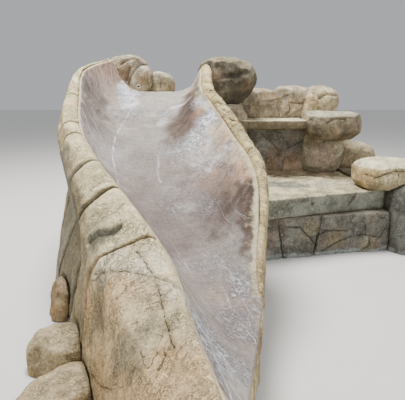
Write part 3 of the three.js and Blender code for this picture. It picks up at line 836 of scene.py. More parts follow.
# the thin coping and cladding on the right of the chute
rightWall = {
    "name": "right wall",
    "slot": "tan_stone",
    "finish": "cream",
    "shape": {"voxel": 0.0115, "smooth": 2, "groove": 0.002, "grooveWidth": 0.008, "swell": 0.005,
              "lumps": ((0.25, 0.02), (0.09, 0.022), (0.035, 0.01))},
    "look": {"rust": 0.45, "wash": 0.4, "tone": (1.36, 1.33, 1.14), "jointDark": 0.3, "crinkle": 1.0,
             "drips": 0.2, "crackWidth": 0.02, "crackDark": 0.95, "lineDark": 0.8},
    "stones": {
        "right_coping_stone_1": {"look": {"cracks": [
            [(-0.55, 1.20, 1.83), (-0.46, 1.22, 1.80), (-0.38, 1.20, 1.76)],
            [(-0.50, 1.03, 1.75), (-0.43, 1.03, 1.71)]]}},
        "right_coping_stone_2": {"look": {"cracks": [
            [(-0.44, 0.83, 1.64), (-0.365, 0.767, 1.59), (-0.32, 0.76, 1.56)],
            [(-0.40, 0.70, 1.57), (-0.33, 0.66, 1.53)]]}},
        "right_coping_stone_3": {"look": {"cracks": [
            [(-0.33, 0.56, 1.49), (-0.259, 0.489, 1.436), (-0.20, 0.50, 1.41)]]}},
        "right_coping_stone_4": {"look": {"cracks": [
            [(-0.24, 0.36, 1.38), (-0.173, 0.346, 1.352), (-0.12, 0.33, 1.32)],
            [(-0.17, 0.20, 1.29), (-0.08, 0.17, 1.25)]]}},
        "right_coping_stone_5": {"look": {"rust": 0.6}},
        "right_coping_stone_6": {"shape": {"voxel": 0.0102, "lumps": ((0.25, 0.006), (0.07, 0.005))}},
        "right_side_stone_1": {"shape": {"voxel": 0.0205}, "finish": "brown"},
        "right_side_stone_2": {"shape": {"voxel": 0.0179}, "finish": "brown"},
        "right_side_stone_3": {"shape": {"voxel": 0.0166}, "finish": "brown"},
    },
}
carveFamily(rightWall)

# the rocks round the crest, where the water comes in
entryRocks = {
    "name": "entry rocks",
    "slot": "tan_stone",
    "finish": "brown",
    "shape": {"voxel": 0.0154, "smooth": 3, "swell": 0.008, "groove": 0.002, "grooveWidth": 0.01,
              "lumps": ((0.3, 0.04), (0.1, 0.02), (0.04, 0.008))},
    "look": {"rust": 0.5, "tone": (1.5, 1.62, 1.72), "jointDark": 0.35, "crinkle": 1.0},
    "stones": {
        "entry_rock_left": {
            "shape": {"crackDepth": 0.02, "crackReach": 0.02},
            "look": {"rust": 0.75, "spots": [
                ((-1.66, 2.14, 2.16), 0.20, (196, 178, 152), 0.7),
                ((-1.56, 2.03, 1.95), 0.16, (176, 140, 104), 0.7),
            ], "cracks": [
                [(-1.618, 2.052, 2.064), (-1.531, 2.059, 2.122), (-1.453, 2.074, 2.141)],
                [(-1.50, 2.03, 2.02), (-1.525, 2.02, 1.93), (-1.55, 2.02, 1.86)]]}},
        "entry_rock_middle": {"look": {"rust": 0.7, "spots": [
            ((-1.34, 1.98, 1.89), 0.12, (186, 150, 112), 0.6)]}},
        "entry_rock_right": {"look": {"cracks": [
            [(-1.127, 2.195, 1.954), (-1.111, 2.144, 1.862), (-1.125, 2.133, 1.771)]]}},
        "crest_side_rock": {"shape": {"voxel": 0.0205}},
        "landing_slab": {"finish": "cream", "shape": {"lumps": ((0.3, 0.008), (0.1, 0.003))}},
        "entry_boulder_base": {"shape": {"voxel": 0.0205}},
    },
}
carveFamily(entryRocks)

# the dark boulder at the right of the crest
roundBoulder = {
    "name": "round boulder",
    "slot": "dark_stone",
    "finish": "dusk",
    "shape": {"voxel": 0.0154, "smooth": 4, "lumps": ((0.33, 0.045), (0.12, 0.03), (0.045, 0.01)),
              "facets": [((-0.20, 1.66, 2.09), (0.1, -0.25, 1)), ((0.09, 1.72, 1.9), (0.8, -0.6, 0.1)),
                         ((-0.25, 1.645, 1.9), (-0.1, -1, 0.15)), ((-0.50, 1.75, 1.95), (-0.75, -0.6, 0.2))],
              "furrows": [
                  ([(-0.319, 1.614, 1.891), (-0.222, 1.611, 1.908), (-0.125, 1.617, 1.903),
                    (-0.03, 1.65, 1.94)], 0.03, 0.02)]},
    "look": {"wash": 0.7, "bleachAndTopLight": 1.0, "tone": (1.32, 1.32, 1.22), "crinkle": 1.0, "spots": [
        ((-0.37, 1.60, 1.90), 0.14, (150, 128, 104), 0.6),
        ((-0.03, 1.64, 1.80), 0.16, (140, 120, 98), 0.5),
        ((-0.16, 1.62, 1.86), 0.13, (84, 80, 68), 0.6),
    ]},
    "stones": {"entry_boulder": {}},
}
carveFamily(roundBoulder)

# the back wall above the ledge, and the ledge
backWall = {
    "name": "back wall",
    "slot": "tan_stone",
    "finish": "brown",
    "shape": {"voxel": 0.0141, "smooth": 3, "groove": -0.004, "grooveWidth": 0.02, "swell": 0.006,
              "spread": 0.012, "crackDepth": 0.008, "crackReach": 0.013,
              "lumps": ((0.28, 0.04), (0.1, 0.02), (0.04, 0.007))},
    "look": {"rust": 0.45, "bleachAndTopLight": 0.45, "jointDark": 0.12, "crinkle": 1.0, "drips": 0.3,
             "crackDark": 0.8, "crackWidth": 0.009, "tone": (1.42, 1.46, 1.5)},
    "stones": {
        "back_rock_1": {"look": {"cracks": [
            [(0.289, 2.215, 1.606), (0.38, 2.216, 1.595), (0.465, 2.229, 1.62), (0.55, 2.22, 1.65)],
            [(0.489, 2.212, 1.606), (0.49, 2.225, 1.506), (0.5, 2.224, 1.412)]]}},
        "back_rock_2": {"look": {"cracks": [
            [(0.50, 2.22, 1.62), (0.614, 2.213, 1.68)],
            [(0.63, 2.201, 1.581), (0.727, 2.202, 1.569), (0.824, 2.203, 1.564)],
            [(0.631, 2.201, 1.561), (0.65, 2.202, 1.467), (0.585, 2.205, 1.413)]]}},
        "back_rock_3": {
            "finish": "cream",
            "shape": {"crackDepth": 0.02, "crackReach": 0.02},
            "look": {"cracks": [
                [(0.935, 2.164, 1.706), (1.017, 2.125, 1.628), (1.115, 2.153, 1.687),
                 (1.251, 2.166, 1.667)]]}},
        "ledge_side_rock": {
            "shape": {
                "crackDepth": 0.012, "lumps": ((0.3, 0.035), (0.11, 0.022), (0.04, 0.008)),
                "facets": [((1.10, 1.525, 1.30), (0, -1, 0.12)), ((0.86, 1.60, 1.30), (-0.75, -0.65, 0)),
                           ((1.10, 1.80, 1.455), (-0.05, -0.15, 1)), ((1.39, 1.63, 1.30), (0.8, -0.6, 0.1)),
                           ((1.25, 1.58, 1.20), (0.35, -0.5, -0.8)),
                           ((0.90, 1.60, 1.16), (-0.2, -0.5, -0.8))]},
            "look": {"jointDark": 0.6, "bleachAndTopLight": 1.0, "tone": (1.3, 1.36, 1.4), "spots": [
                # the two darkest spots lie at the lower corners over the undersides: painted shadow under the
                # overhang
                ((0.84, 1.56, 1.24), 0.14, (88, 80, 64), 0.7),
                ((1.06, 1.51, 1.24), 0.10, (150, 126, 98), 0.6),
                ((1.25, 1.51, 1.25), 0.14, (84, 74, 60), 0.75),
            ], "cracks": [
                [(0.791, 1.652, 1.377), (0.962, 1.506, 1.356), (1.078, 1.499, 1.398), (1.19, 1.495, 1.40)],
                [(1.186, 1.492, 1.386), (1.207, 1.535, 1.177)]]}},
        "upper_ledge": {"finish": "cream", "shape": {"voxel": 0.0128, "smooth": 4, "swell": 0.002,
                                                     "lumps": ((0.3, 0.016), (0.1, 0.012), (0.04, 0.004))},
                        "look": {"bleachAndTopLight": 1.0, "jointDark": 0.35, "tone": (1.4, 1.42, 1.36),
                                 "side": ((124, 115, 98), 0.8)}},
    },
}
carveFamily(backWall)

# the recess under the ledge
recess = {
    "name": "recess",
    "slot": "dark_stone",
    "finish": "dusk",
    "shape": {"smooth": 2, "groove": -0.004, "grooveWidth": 0.03, "swell": 0.004, "spread": 0.016,
              "crackDepth": 0.004, "crackReach": 0.014,
              "lumps": ((0.35, 0.04), (0.12, 0.018), (0.045, 0.006))},
    "look": {"rust": 0.5, "wash": 0.4, "bleachAndTopLight": 0.3, "jointDark": 0.0, "drips": 0.15, "crinkle": 1.0,
             "crackDark": 0.35, "tone": (1.5, 1.62, 1.8)},
    "stones": {
        "recess_rock_1": {},
        # the spots on the foot of the recess grow lighter downwards: partly the tan of the shelf running up,
        # partly painted light where the foot comes out from under the ledge
        "recess_rock_2": {"look": {"spots": [
            ((0.45, 2.07, 0.85), 0.22, (150, 124, 104), 0.7),
            ((0.20, 2.08, 0.70), 0.16, (168, 144, 118), 0.85),
            ((0.40, 2.08, 0.70), 0.18, (190, 164, 134), 0.9)], "cracks": [
            [(0.23, 2.081, 1.191), (0.371, 2.077, 1.069), (0.515, 2.075, 0.918)]]}},
        "recess_rock_3": {"look": {"spots": [
            ((0.59, 2.08, 0.80), 0.22, (168, 142, 118), 0.8),
            ((0.78, 2.07, 0.78), 0.22, (164, 138, 114), 0.8),
            ((0.60, 2.08, 0.68), 0.18, (206, 180, 148), 0.9),
            ((0.80, 2.08, 0.68), 0.18, (200, 172, 142), 0.9)], "cracks": [
            [(0.583, 2.077, 0.945), (0.783, 2.073, 1.056), (0.858, 2.058, 1.112)]]}},
        "recess_side_rock": {
            "finish": "brown", "shape": {"smooth": 6, "facets": [
                ((0.96, 1.93, 0.9), (-0.6, -0.75, 0.2)), ((1.15, 1.905, 0.9), (0.1, -1, 0.25))]},
            "look": {"jointDark": 0.5, "tone": (1.65, 1.9, 2.0), "spotTone": 1.25, "spots": [
                ((1.0, 1.90, 0.95), 0.26, (190, 170, 152), 0.75),
                ((1.15, 1.89, 0.80), 0.22, (188, 166, 146), 0.75)]}},
    },
}
carveFamily(recess)

# the shelf over the water and the rocks at its far end
shelf = {
    "name": "shelf",
    "slot": "tan_stone",
    "finish": "cream",
    "shape": {"voxel": 0.0154, "smooth": 5, "lumps": ((0.35, 0.018), (0.1, 0.009))},
    "look": {"rust": 0.35, "wash": 0.4},
    "stones": {
        "shelf_slab": {
            "shape": {"voxel": 0.016, "smooth": 12, "seat": 0.02, "crackDepth": 0.008, "crackReach": 0.022,
                      "lumps": ((0.4, 0.02), (0.12, 0.014), (0.05, 0.006)),
                      "furrows": [([(0.0, 0.47, 0.53), (0.576, 0.595, 0.54), (1.0, 0.735, 0.53),
                                    (1.45, 0.87, 0.54)], 0.03, 0.008)]},
            "look": {
                "bleachAndTopLight": 0.75, "tone": (1.2, 1.24, 1.2), "side": ((136, 142, 132), 0.85), "drips": 0.45,
                "jointDark": 0.1, "crackWidth": 0.03, "crackDark": 0.95, "crinkle": 1.0, "lineDark": 0.8,
                "spots": [
                    ((0.244, 1.18, 0.66), 0.20, (156, 158, 148), 0.75),
                    ((0.411, 1.13, 0.66), 0.24, (148, 152, 144), 0.8),
                    ((0.574, 1.07, 0.66), 0.18, (156, 160, 150), 0.75),
                    ((0.5, 1.85, 0.66), 0.34, (204, 178, 146), 0.8),
                    ((1.0, 1.85, 0.66), 0.34, (196, 168, 140), 0.8),
                    ((0.1, 1.9, 0.66), 0.30, (172, 150, 124), 0.8),
                    ((1.2, 1.5, 0.66), 0.26, (196, 172, 146), 0.6),
                    ((0.9, 1.2, 0.66), 0.30, (214, 206, 188), 0.5),
                ],
                "cracks": [
                    [(0.32, 1.66, 0.66), (0.44, 1.70, 0.66), (0.56, 1.66, 0.66)],
                    [(0.46, 1.80, 0.66), (0.66, 1.76, 0.66), (0.86, 1.72, 0.66), (1.00, 1.64, 0.66)],
                    [(1.15, 0.76, 0.66), (1.02, 0.77, 0.50)],
                    [(0.55, 0.66, 0.66), (0.62, 0.585, 0.55)],
                ]}},
        "shelf_rock_rear": {
            "shape": {"lumps": ((0.3, 0.03), (0.1, 0.02), (0.04, 0.008)),
                      "facets": [((1.45, 2.14, 0.9), (-0.35, -1, 0.1)), ((1.36, 2.3, 0.9), (-1, -0.5, 0.2))]},
            "look": {"tone": (1.2, 1.22, 1.2), "side": ((168, 150, 124), 0.6)}},
        "shelf_rock_front": {
            "shape": {
                "crackDepth": 0.012, "crackReach": 0.014, "lumps": ((0.3, 0.03), (0.1, 0.02), (0.04, 0.008)),
                "facets": [((1.5, 0.735, 0.80), (0, -1, 0.1)), ((1.27, 0.80, 0.80), (-0.8, -0.7, 0)),
                           ((1.5, 1.0, 0.975), (0, -0.12, 1))]},
            "look": {
                "rust": 0.45, "bleachAndTopLight": 0.9, "tone": (1.58, 1.66, 1.66), "crackWidth": 0.01,
                "crackDark": 0.9, "cracks": [
                    [(1.207, 0.844, 0.834), (1.295, 0.752, 0.818), (1.384, 0.724, 0.857),
                     (1.488, 0.728, 0.89), (1.584, 0.729, 0.894)],
                    [(1.54, 0.719, 0.869), (1.531, 0.729, 0.758)],
                ]}},
        "end_rock_rear": {"finish": "brown", "shape": {"voxel": 0.023, "lumps": ((0.4, 0.05), (0.12, 0.02))}},
    },
}
carveFamily(shelf)

# the base wall, which stands in the water
baseWall = {
    "name": "base wall",
    "slot": "tan_stone",
    "finish": "dusk",
    "shape": {"voxel": 0.0154, "smooth": 2, "groove": -0.004, "grooveWidth": 0.03, "swell": 0.003,
              "spread": 0.018, "crackDepth": 0.006, "crackReach": 0.013,
              "lumps": ((0.3, 0.03), (0.1, 0.018), (0.04, 0.006)),
              # the line of the wall in plan
              "front": [(-0.3, 0.37), (0.043, 0.425), (0.497, 0.53), (0.92, 0.638), (1.30, 0.69),
                        (1.6, 0.72)]},
    "look": {"rust": 0.8, "bleachAndTopLight": 0.2, "waterline": 0.055, "jointDark": 0.05, "drips": 0.3,
             "crinkle": 1.0, "crackWidth": 0.009, "crackDark": 0.75, "tone": (1.15, 1.25, 1.32)},
    "stones": {
        "shelf_wall_rock_1": {"look": {"cracks": [
            [(0.114, 0.422, 0.355), (0.2, 0.45, 0.365), (0.33, 0.5, 0.355)]]}},
        "shelf_wall_rock_2": {"look": {"spots": [
            ((0.58, 0.53, 0.31), 0.15, (146, 134, 108), 0.8)], "cracks": [
            [(0.31, 0.536, 0.355), (0.468, 0.535, 0.339), (0.483, 0.535, 0.327), (0.512, 0.533, 0.278),
             (0.595, 0.532, 0.209), (0.715, 0.56, 0.054)],
            [(0.595, 0.531, 0.209), (0.716, 0.56, 0.241)]]}},
        "shelf_wall_rock_3": {"look": {"spots": [
            ((0.89, 0.64, 0.18), 0.16, (144, 132, 104), 0.8)], "cracks": [
            [(0.66, 0.643, 0.215), (0.716, 0.643, 0.241), (0.767, 0.642, 0.276), (1.026, 0.642, 0.254)],
            [(0.729, 0.64, 0.04), (0.887, 0.642, 0.12), (1.032, 0.643, 0.183), (1.192, 0.676, 0.201)]]}},
        "shelf_wall_rock_4": {"look": {"slot": "dark_stone", "spots": [
            ((1.28, 0.68, 0.08), 0.15, (146, 132, 106), 0.8)], "cracks": [
            [(1.032, 0.66, 0.183), (1.192, 0.676, 0.201), (1.388, 0.681, 0.17), (1.469, 0.699, 0.296)],
            [(1.27, 0.677, 0.171), (1.287, 0.68, 0.083), (1.212, 0.683, 0.023)],
            [(1.209, 0.678, 0.314), (1.233, 0.676, 0.2)],
            [(1.34, 0.7, 0.44), (1.367, 0.698, 0.40), (1.41, 0.69, 0.379), (1.44, 0.69, 0.41)]]}},
        "end_rock": {
            "shape": {"voxel": 0.0179, "smooth": 6, "front": None, "swell": 0.0, "spread": 0, "groove": 0.003,
                      "lumps": ((0.4, 0.04), (0.12, 0.02), (0.045, 0.007))},
            "look": {"slot": "dark_stone", "tone": (1.25, 1.42, 1.6), "jointDark": 0.5}},
    },
}
carveFamily(baseWall)



def footRock(*facets):
    shape = {"voxel": 0.0141, "smooth": 3, "swell": 0.007,
             "lumps": ((0.2, 0.03), (0.07, 0.022), (0.03, 0.006)), "facets": facets}
    look = {"tone": (1.02, 0.98, 0.92), "rust": 0.7, "jointDark": 0.4}
    return {"finish": "cream", "shape": shape, "look": look}


# the unseen back and the small rocks at the foot of the left wall
outerRocks = {
    "name": "back and foot rocks",
    "slot": "tan_stone",
    "finish": "brown",
    "shape": {"voxel": 0.0243, "smooth": 5, "lumps": ((0.45, 0.05), (0.15, 0.022), (0.06, 0.008))},
    "look": {"tone": (1.15, 1.2, 1.25)},
    "stones": {
        "rear_stone_1": {},
        "rear_stone_2": {},
        "rear_stone_3": {},
        "rear_stone_4": {},
        "foot_rock_1": footRock(
            ((-1.70, -0.65, 0.15), (-1, -0.5, 0.3)), ((-1.66, -0.72, 0.1), (-0.3, -1, 0.3))),
        "foot_rock_2": footRock(
            ((-1.50, -1.36, 0.1), (-0.3, -1, 0.4)), ((-1.5, -1.2, 0.185), (0.1, -0.1, 1))),
        "foot_rock_3": footRock(
            ((-1.45, -1.6, 0.14), (-0.3, 0.1, 1)), ((-1.35, -1.80, 0.08), (0, -1, 0.3))),
    },
}
carveFamily(outerRocks)

# the chute: one smooth plastered trough
chute = {
    "node": "slide_chute",
    "levels": 3,
    "creaseAngle": 38,  # degrees
    "lumps": ((0.7, 0.012), (0.18, 0.008), (0.06, 0.003)),
    "strokeDepth": 0.012,
    "body": paint(152, 142, 134),
    "pale": paint(180, 174, 166),
    "mauve": paint(128, 111, 105),
    "brown": paint(146, 116, 94),
    "umber": paint(72, 56, 47),
    "white": paint(234, 237, 246),
    "rim": paint(214, 200, 168),
    "stainGrey": 0.2,  # how far the stains are drawn towards grey
    "stainPower": 1.3,  # deepens the dark ones
    "stainLight": 0.93,  # share of their light that is left
    "stainSpread": 1.45,  # how far they run past the reach given below
    "limeSpread": 1.2,
    "cloudShift": 0.10,  # how far the edges of both are pushed about
    # the deepest line of the trough from crest to exit
    "bed": [(-1.00, 1.95, 1.72), (-0.98, 1.45, 1.55), (-1.05, 0.85, 1.30), (-1.02, 0.25, 1.07),
            (-0.90, -0.20, 0.89), (-0.72, -0.62, 0.72), (-0.49, -1.05, 0.56), (-0.38, -1.40, 0.46),
            (-0.30, -1.80, 0.43), (-0.24, -2.30, 0.41)],
    # what is pressed in or pushed out by hand: centre, reach, direction with depth
    "presses": [
        ((-0.70, 1.62, 1.77), 0.11, (0.032, 0, -0.050)),
        ((-0.80, 1.30, 1.60), 0.10, (0.010, 0, -0.022)),
        ((-0.87, 1.05, 1.46), 0.09, (0.008, 0, -0.018)),
        ((-0.62, 1.00, 1.58), 0.12, (-0.016, 0, 0.010)),
        ((-0.66, 0.80, 1.45), 0.12, (-0.014, 0, 0.012)),
        ((-0.25, -0.55, 0.84), 0.16, (-0.020, 0, 0.010)),
        ((-0.45, 0.35, 1.26), 0.14, (-0.014, 0, 0.012)),
    ],
    # place, reach, colour and strength of each stain
    "stains": [
        ((-1.251, 1.573, 1.621), 0.45, (190, 186, 180), 0.5),
        ((-1.14, 1.30, 1.52), 0.30, (184, 180, 176), 0.5),
        ((-1.72, 1.708, 1.907), 0.44, (178, 148, 128), 0.85),
        ((-1.62, 1.50, 1.75), 0.26, (188, 172, 162), 0.6),
        ((-1.54, 1.76, 1.74), 0.10, (242, 247, 255), 0.9),
        ((-1.48, 1.68, 1.69), 0.13, (244, 249, 255), 1.0),
        ((-1.43, 1.56, 1.62), 0.13, (250, 252, 255), 1.0),
        ((-1.41, 1.36, 1.54), 0.08, (238, 244, 252), 0.8),
        ((-1.80, 1.25, 1.80), 0.24, (142, 132, 126), 0.7),
        ((-1.738, 1.082, 1.627), 0.20, (130, 118, 112), 0.8),
        ((-1.688, 0.741, 1.531), 0.22, (134, 120, 116), 0.8),
        ((-1.601, 0.489, 1.397), 0.18, (142, 128, 122), 0.7),
        ((-1.45, 0.20, 1.20), 0.40, (178, 172, 174), 0.5),
        ((-1.10, 0.62, 1.23), 0.36, (166, 158, 150), 0.7),
        ((-1.00, 0.10, 1.03), 0.34, (160, 148, 142), 0.7),
        ((-0.634, 1.60, 1.85), 0.12, (136, 116, 102), 0.85),
        ((-0.70, 1.45, 1.73), 0.12, (136, 114, 100), 0.85),
        ((-0.581, 0.786, 1.448), 0.26, (150, 118, 92), 0.95),
        ((-0.70, 0.60, 1.30), 0.20, (124, 104, 92), 0.9),
        ((-0.65, 1.32, 1.71), 0.14, (116, 92, 78), 0.9),
        ((-0.669, 1.15, 1.62), 0.18, (108, 84, 72), 1.0),
        ((-0.638, 0.98, 1.56), 0.18, (98, 76, 64), 1.0),
        ((-0.72, 0.88, 1.44), 0.18, (108, 86, 74), 1.0),
        ((-0.81, 0.78, 1.36), 0.15, (118, 98, 84), 0.95),
        ((-0.86, 0.62, 1.26), 0.12, (130, 112, 98), 0.8),
        ((-0.72, 0.62, 1.29), 0.17, (118, 96, 82), 0.9),
        ((-0.60, 0.60, 1.34), 0.13, (126, 104, 90), 0.85),
        ((-0.54, 0.80, 1.50), 0.12, (184, 148, 118), 0.85),
        ((-0.50, 0.95, 1.60), 0.12, (206, 170, 138), 0.8),
        ((-0.47, 0.64, 1.42), 0.15, (224, 220, 222), 0.9),
        ((-0.53, 0.95, 1.62), 0.09, (212, 204, 200), 0.8),
        ((-0.53, 0.50, 1.31), 0.17, (214, 206, 200), 0.8),
        ((-0.66, 0.42, 1.20), 0.20, (190, 182, 178), 0.6),
        ((-0.40, 0.60, 1.40), 0.18, (232, 202, 168), 0.85),
        ((-0.465, 0.28, 1.21), 0.24, (240, 228, 212), 0.9),
        ((-0.37, 0.342, 1.268), 0.20, (236, 210, 178), 0.85),
        ((-0.28, 0.32, 1.30), 0.20, (214, 178, 138), 0.9),
        ((-0.20, 0.10, 1.18), 0.22, (216, 180, 138), 0.9),
        ((-0.30, 0.02, 1.09), 0.22, (236, 214, 188), 0.85),
        ((-0.233, -0.075, 1.056), 0.22, (212, 176, 144), 0.8),
        ((-0.40, -0.05, 1.00), 0.20, (190, 160, 138), 0.7),
        ((-0.326, -0.215, 0.955), 0.26, (172, 140, 118), 0.8),
        ((-0.534, -0.213, 0.911), 0.26, (156, 134, 122), 0.7),
        ((-0.12, -0.30, 0.97), 0.20, (180, 142, 112), 0.8),
        ((-0.33, -0.45, 0.84), 0.26, (120, 98, 84), 0.95),
        ((-0.36, -0.66, 0.74), 0.26, (126, 106, 94), 0.85),
        ((-0.16, -0.46, 0.88), 0.22, (104, 84, 72), 1.0),
        ((-0.218, -0.648, 0.769), 0.30, (98, 80, 68), 1.0),
        ((-0.24, -0.83, 0.66), 0.24, (112, 92, 80), 0.95),
        ((-0.40, -0.58, 0.77), 0.18, (118, 98, 86), 0.95),
        ((-0.33, -0.76, 0.69), 0.18, (112, 94, 82), 0.95),
        ((-0.974, -0.391, 0.83), 0.36, (148, 132, 128), 0.75),
        ((-0.755, -0.724, 0.694), 0.36, (146, 130, 126), 0.8),
        ((-0.62, -0.95, 0.60), 0.30, (150, 134, 130), 0.75),
        ((-0.52, -1.15, 0.53), 0.26, (170, 158, 152), 0.6),
        ((-0.419, -0.859, 0.631), 0.20, (184, 176, 168), 0.6),
        ((-0.479, -1.296, 0.481), 0.34, (184, 172, 164), 0.7),
        ((-0.38, -1.12, 0.53), 0.20, (180, 164, 154), 0.7),
        ((-0.333, -1.352, 0.446), 0.22, (180, 160, 148), 0.7),
        ((-0.35, -1.75, 0.46), 0.30, (182, 168, 160), 0.7),
        ((-0.30, -1.60, 0.43), 0.22, (150, 134, 128), 0.6),
    ],
    # where the lime lies thick in flecks: place, reach and strength
    "lime": [
        ((-1.47, 1.66, 1.68), 0.20, 1.0), ((-1.41, 1.15, 1.46), 0.26, 0.45),
        ((-0.50, 0.68, 1.43), 0.17, 1.0), ((-0.56, 1.02, 1.62), 0.12, 0.8),
        ((-0.579, 0.464, 1.255), 0.24, 0.85), ((-0.723, 0.379, 1.168), 0.22, 0.6),
        ((-0.877, 0.509, 1.201), 0.16, 0.4), ((-0.48, 0.16, 1.12), 0.26, 0.6),
        ((-0.92, 1.10, 1.46), 0.14, 0.5), ((-0.66, -0.30, 0.87), 0.30, 0.25),
        ((-0.47, -1.00, 0.57), 0.22, 0.35), ((-0.30, -1.15, 0.50), 0.16, 0.6),
        ((-0.36, -1.50, 0.45), 0.20, 0.45), ((-0.56, -1.95, 0.64), 0.26, 0.7),
    ],
    # lime streaks: width, strength and the points of each
    "streaks": [
        (0.05, 0.85, [(-1.557, 1.869, 1.816), (-1.485, 1.72, 1.692), (-1.397, 1.462, 1.576)]),
        (0.008, 0.9, [(-1.38, 1.352, 1.533), (-1.40, 1.114, 1.442), (-1.423, 0.863, 1.36),
                      (-1.43, 0.569, 1.273), (-1.404, 0.334, 1.193), (-1.356, 0.084, 1.099),
                      (-1.302, -0.107, 1.027), (-1.243, -0.284, 0.978)]),
        (0.045, 0.8, [(-0.711, 1.253, 1.638), (-0.858, 1.252, 1.558), (-0.974, 1.107, 1.464),
                      (-1.001, 0.912, 1.368)]),
        (0.010, 0.45, [(-0.976, 0.402, 1.146), (-0.962, 0.107, 1.023), (-0.924, -0.068, 0.949)]),
        (0.035, 0.8, [(-0.61, 1.1, 1.653), (-0.55, 0.949, 1.597), (-0.503, 0.84, 1.548)]),
        (0.028, 0.75, [(-0.469, 0.663, 1.435), (-0.52, 0.539, 1.325), (-0.465, 0.346, 1.23),
                       (-0.523, 0.202, 1.127), (-0.623, 0.13, 1.065)]),
        (0.028, 0.7, [(-0.292, 0.238, 1.233), (-0.423, 0.161, 1.133), (-0.506, 0.031, 1.036)]),
        (0.004, 0.95, [(-0.69, -1.38, 0.74), (-0.636, -1.436, 0.643), (-0.55, -1.405, 0.536),
                       (-0.449, -1.557, 0.483), (-0.41, -1.579, 0.463), (-0.409, -1.668, 0.471)]),
        (0.003, 0.7, [(-0.68, -1.43, 0.72), (-0.62, -1.46, 0.63), (-0.53, -1.45, 0.53),
                      (-0.45, -1.60, 0.487)]),
        (0.004, 0.7, [(-0.596, -0.847, 0.636), (-0.459, -0.972, 0.58), (-0.348, -1.054, 0.54),
                      (-0.258, -1.127, 0.498), (-0.195, -1.158, 0.46)]),
        (0.005, 0.95, [(-0.432, -0.983, 0.574), (-0.413, -0.949, 0.589)]),
        (0.004, 0.8, [(-0.788, -0.427, 0.807), (-0.762, -0.477, 0.788)]),
        (0.009, 0.7, [(-0.646, -1.775, 0.777), (-0.575, -1.892, 0.687), (-0.506, -2.001, 0.619),
                      (-0.46, -2.013, 0.569)]),
        (0.009, 0.7, [(-0.587, -1.912, 0.712), (-0.523, -2.009, 0.644), (-0.498, -2.103, 0.635),
                      (-0.466, -2.198, 0.618), (-0.457, -2.295, 0.63)]),
        (0.006, 0.6, [(-0.528, -1.98, 0.644), (-0.451, -2.057, 0.569), (-0.42, -2.209, 0.567)]),
    ],
}
trough = mergedCopy(chute["node"], "plasteredChute")
makeActive(trough)
bpy.ops.object.mode_set(mode="EDIT")
bpy.ops.mesh.select_all(action="SELECT")
bpy.ops.mesh.tris_convert_to_quads(face_threshold=math.radians(30), shape_threshold=math.radians(50))
bpy.ops.mesh.select_mode(type="EDGE")
bpy.ops.mesh.select_all(action="DESELECT")
bpy.ops.mesh.edges_select_sharp(sharpness=math.radians(chute["creaseAngle"]))
bpy.ops.transform.edge_crease(value=0.9)
bpy.ops.object.mode_set(mode="OBJECT")
applyModifier(trough, "SUBSURF", levels=chute["levels"], render_levels=chute["levels"])
drawn = readPlaces(trough)
storeVectors(trough, "drawn", drawn)
addLumps(trough, "troughLumps", chute["lumps"])
troughSpots = readPlaces(trough)
for centre, reach, push in chute["presses"]:
    share = bell(np.linalg.norm(drawn - np.array(centre), axis=1), reach)
    troughSpots = troughSpots + share[:, None] * np.array(push)
writePlaces(trough, troughSpots)
rims = [name for name in nodes if "coping" in name or name.startswith("left_side")]
storeValues(trough, "rim", np.minimum(
    reachTo(drawn, [name for name in rims if name.startswith("right")], 0.12),
    reachTo(drawn, [name for name in rims if name.startswith("left")], 0.12) * 2))

# flow: how far down the chute a point lies and how far up a wall, for patterns that follow the trough
bed = np.array(chute["bed"])
lengths = np.concatenate([[0], np.cumsum(np.linalg.norm(np.diff(bed, axis=0), axis=1))])
away = np.full(len(drawn), 99.0)
flow = np.zeros_like(drawn)
for i, (start, end) in enumerate(zip(bed, bed[1:])):
    run = (end - start)[:2]
    part = drawn[:, :2] - start[:2]
    share = np.clip(part @ run / (run @ run), 0, 1)
    across = np.linalg.norm(part - share[:, None] * run, axis=1)
    side = np.where(run[0] * part[:, 1] - run[1] * part[:, 0] < 0, 1, -1)
    height = np.maximum(drawn[:, 2] - start[2] - share * (end - start)[2], 0)
    closer = across < away
    away[closer] = across[closer]
    length = lengths[i] + share * (lengths[i + 1] - lengths[i])
    flow[closer] = np.stack([length, side * (across + height), height], axis=1)[closer]
storeVectors(trough, "flow", flow)
# stains and thick lime are laid on the mesh, with cloudy edges
clouds = np.array([
    [fractalNoise(Vector(spot) * 5 + Vector((shift, 0, 0)), 1.0, 2.0, 4) for shift in (0, 30, 60)]
    for spot in drawn])


def patchShare(centre, reach):
    # how much of a stain covers each point
    shifted = drawn + chute["cloudShift"] * clouds
    away = np.linalg.norm(shifted - np.array(centre), axis=1) / reach + 0.35 * clouds[:, 0]
    share = np.clip((1.0 - away) / 0.65, 0, 1)
    return share * share * (3 - 2 * share)


stainTone = np.zeros_like(drawn)
stainShare = np.zeros(len(drawn))
for centre, reach, tint, amount in chute["stains"]:
    share = patchShare(centre, reach * chute["stainSpread"]) * amount
    own = np.array(paint(*tint)[:3])
    own = (own + (own.mean() - own) * chute["stainGrey"]) ** chute["stainPower"]
    own = own * chute["stainLight"]
    stainTone = stainTone * (1 - share[:, None]) + own * share[:, None]
    stainShare = stainShare * (1 - share) + share
storeVectors(trough, "stainTone", stainTone / np.maximum(stainShare, 0.001)[:, None])
storeValues(trough, "stainShare", stainShare)
storeValues(trough, "lime", np.max([patchShare(centre, reach * chute["limeSpread"]) * amount
                                    for centre, reach, amount in chute["lime"]], axis=0))
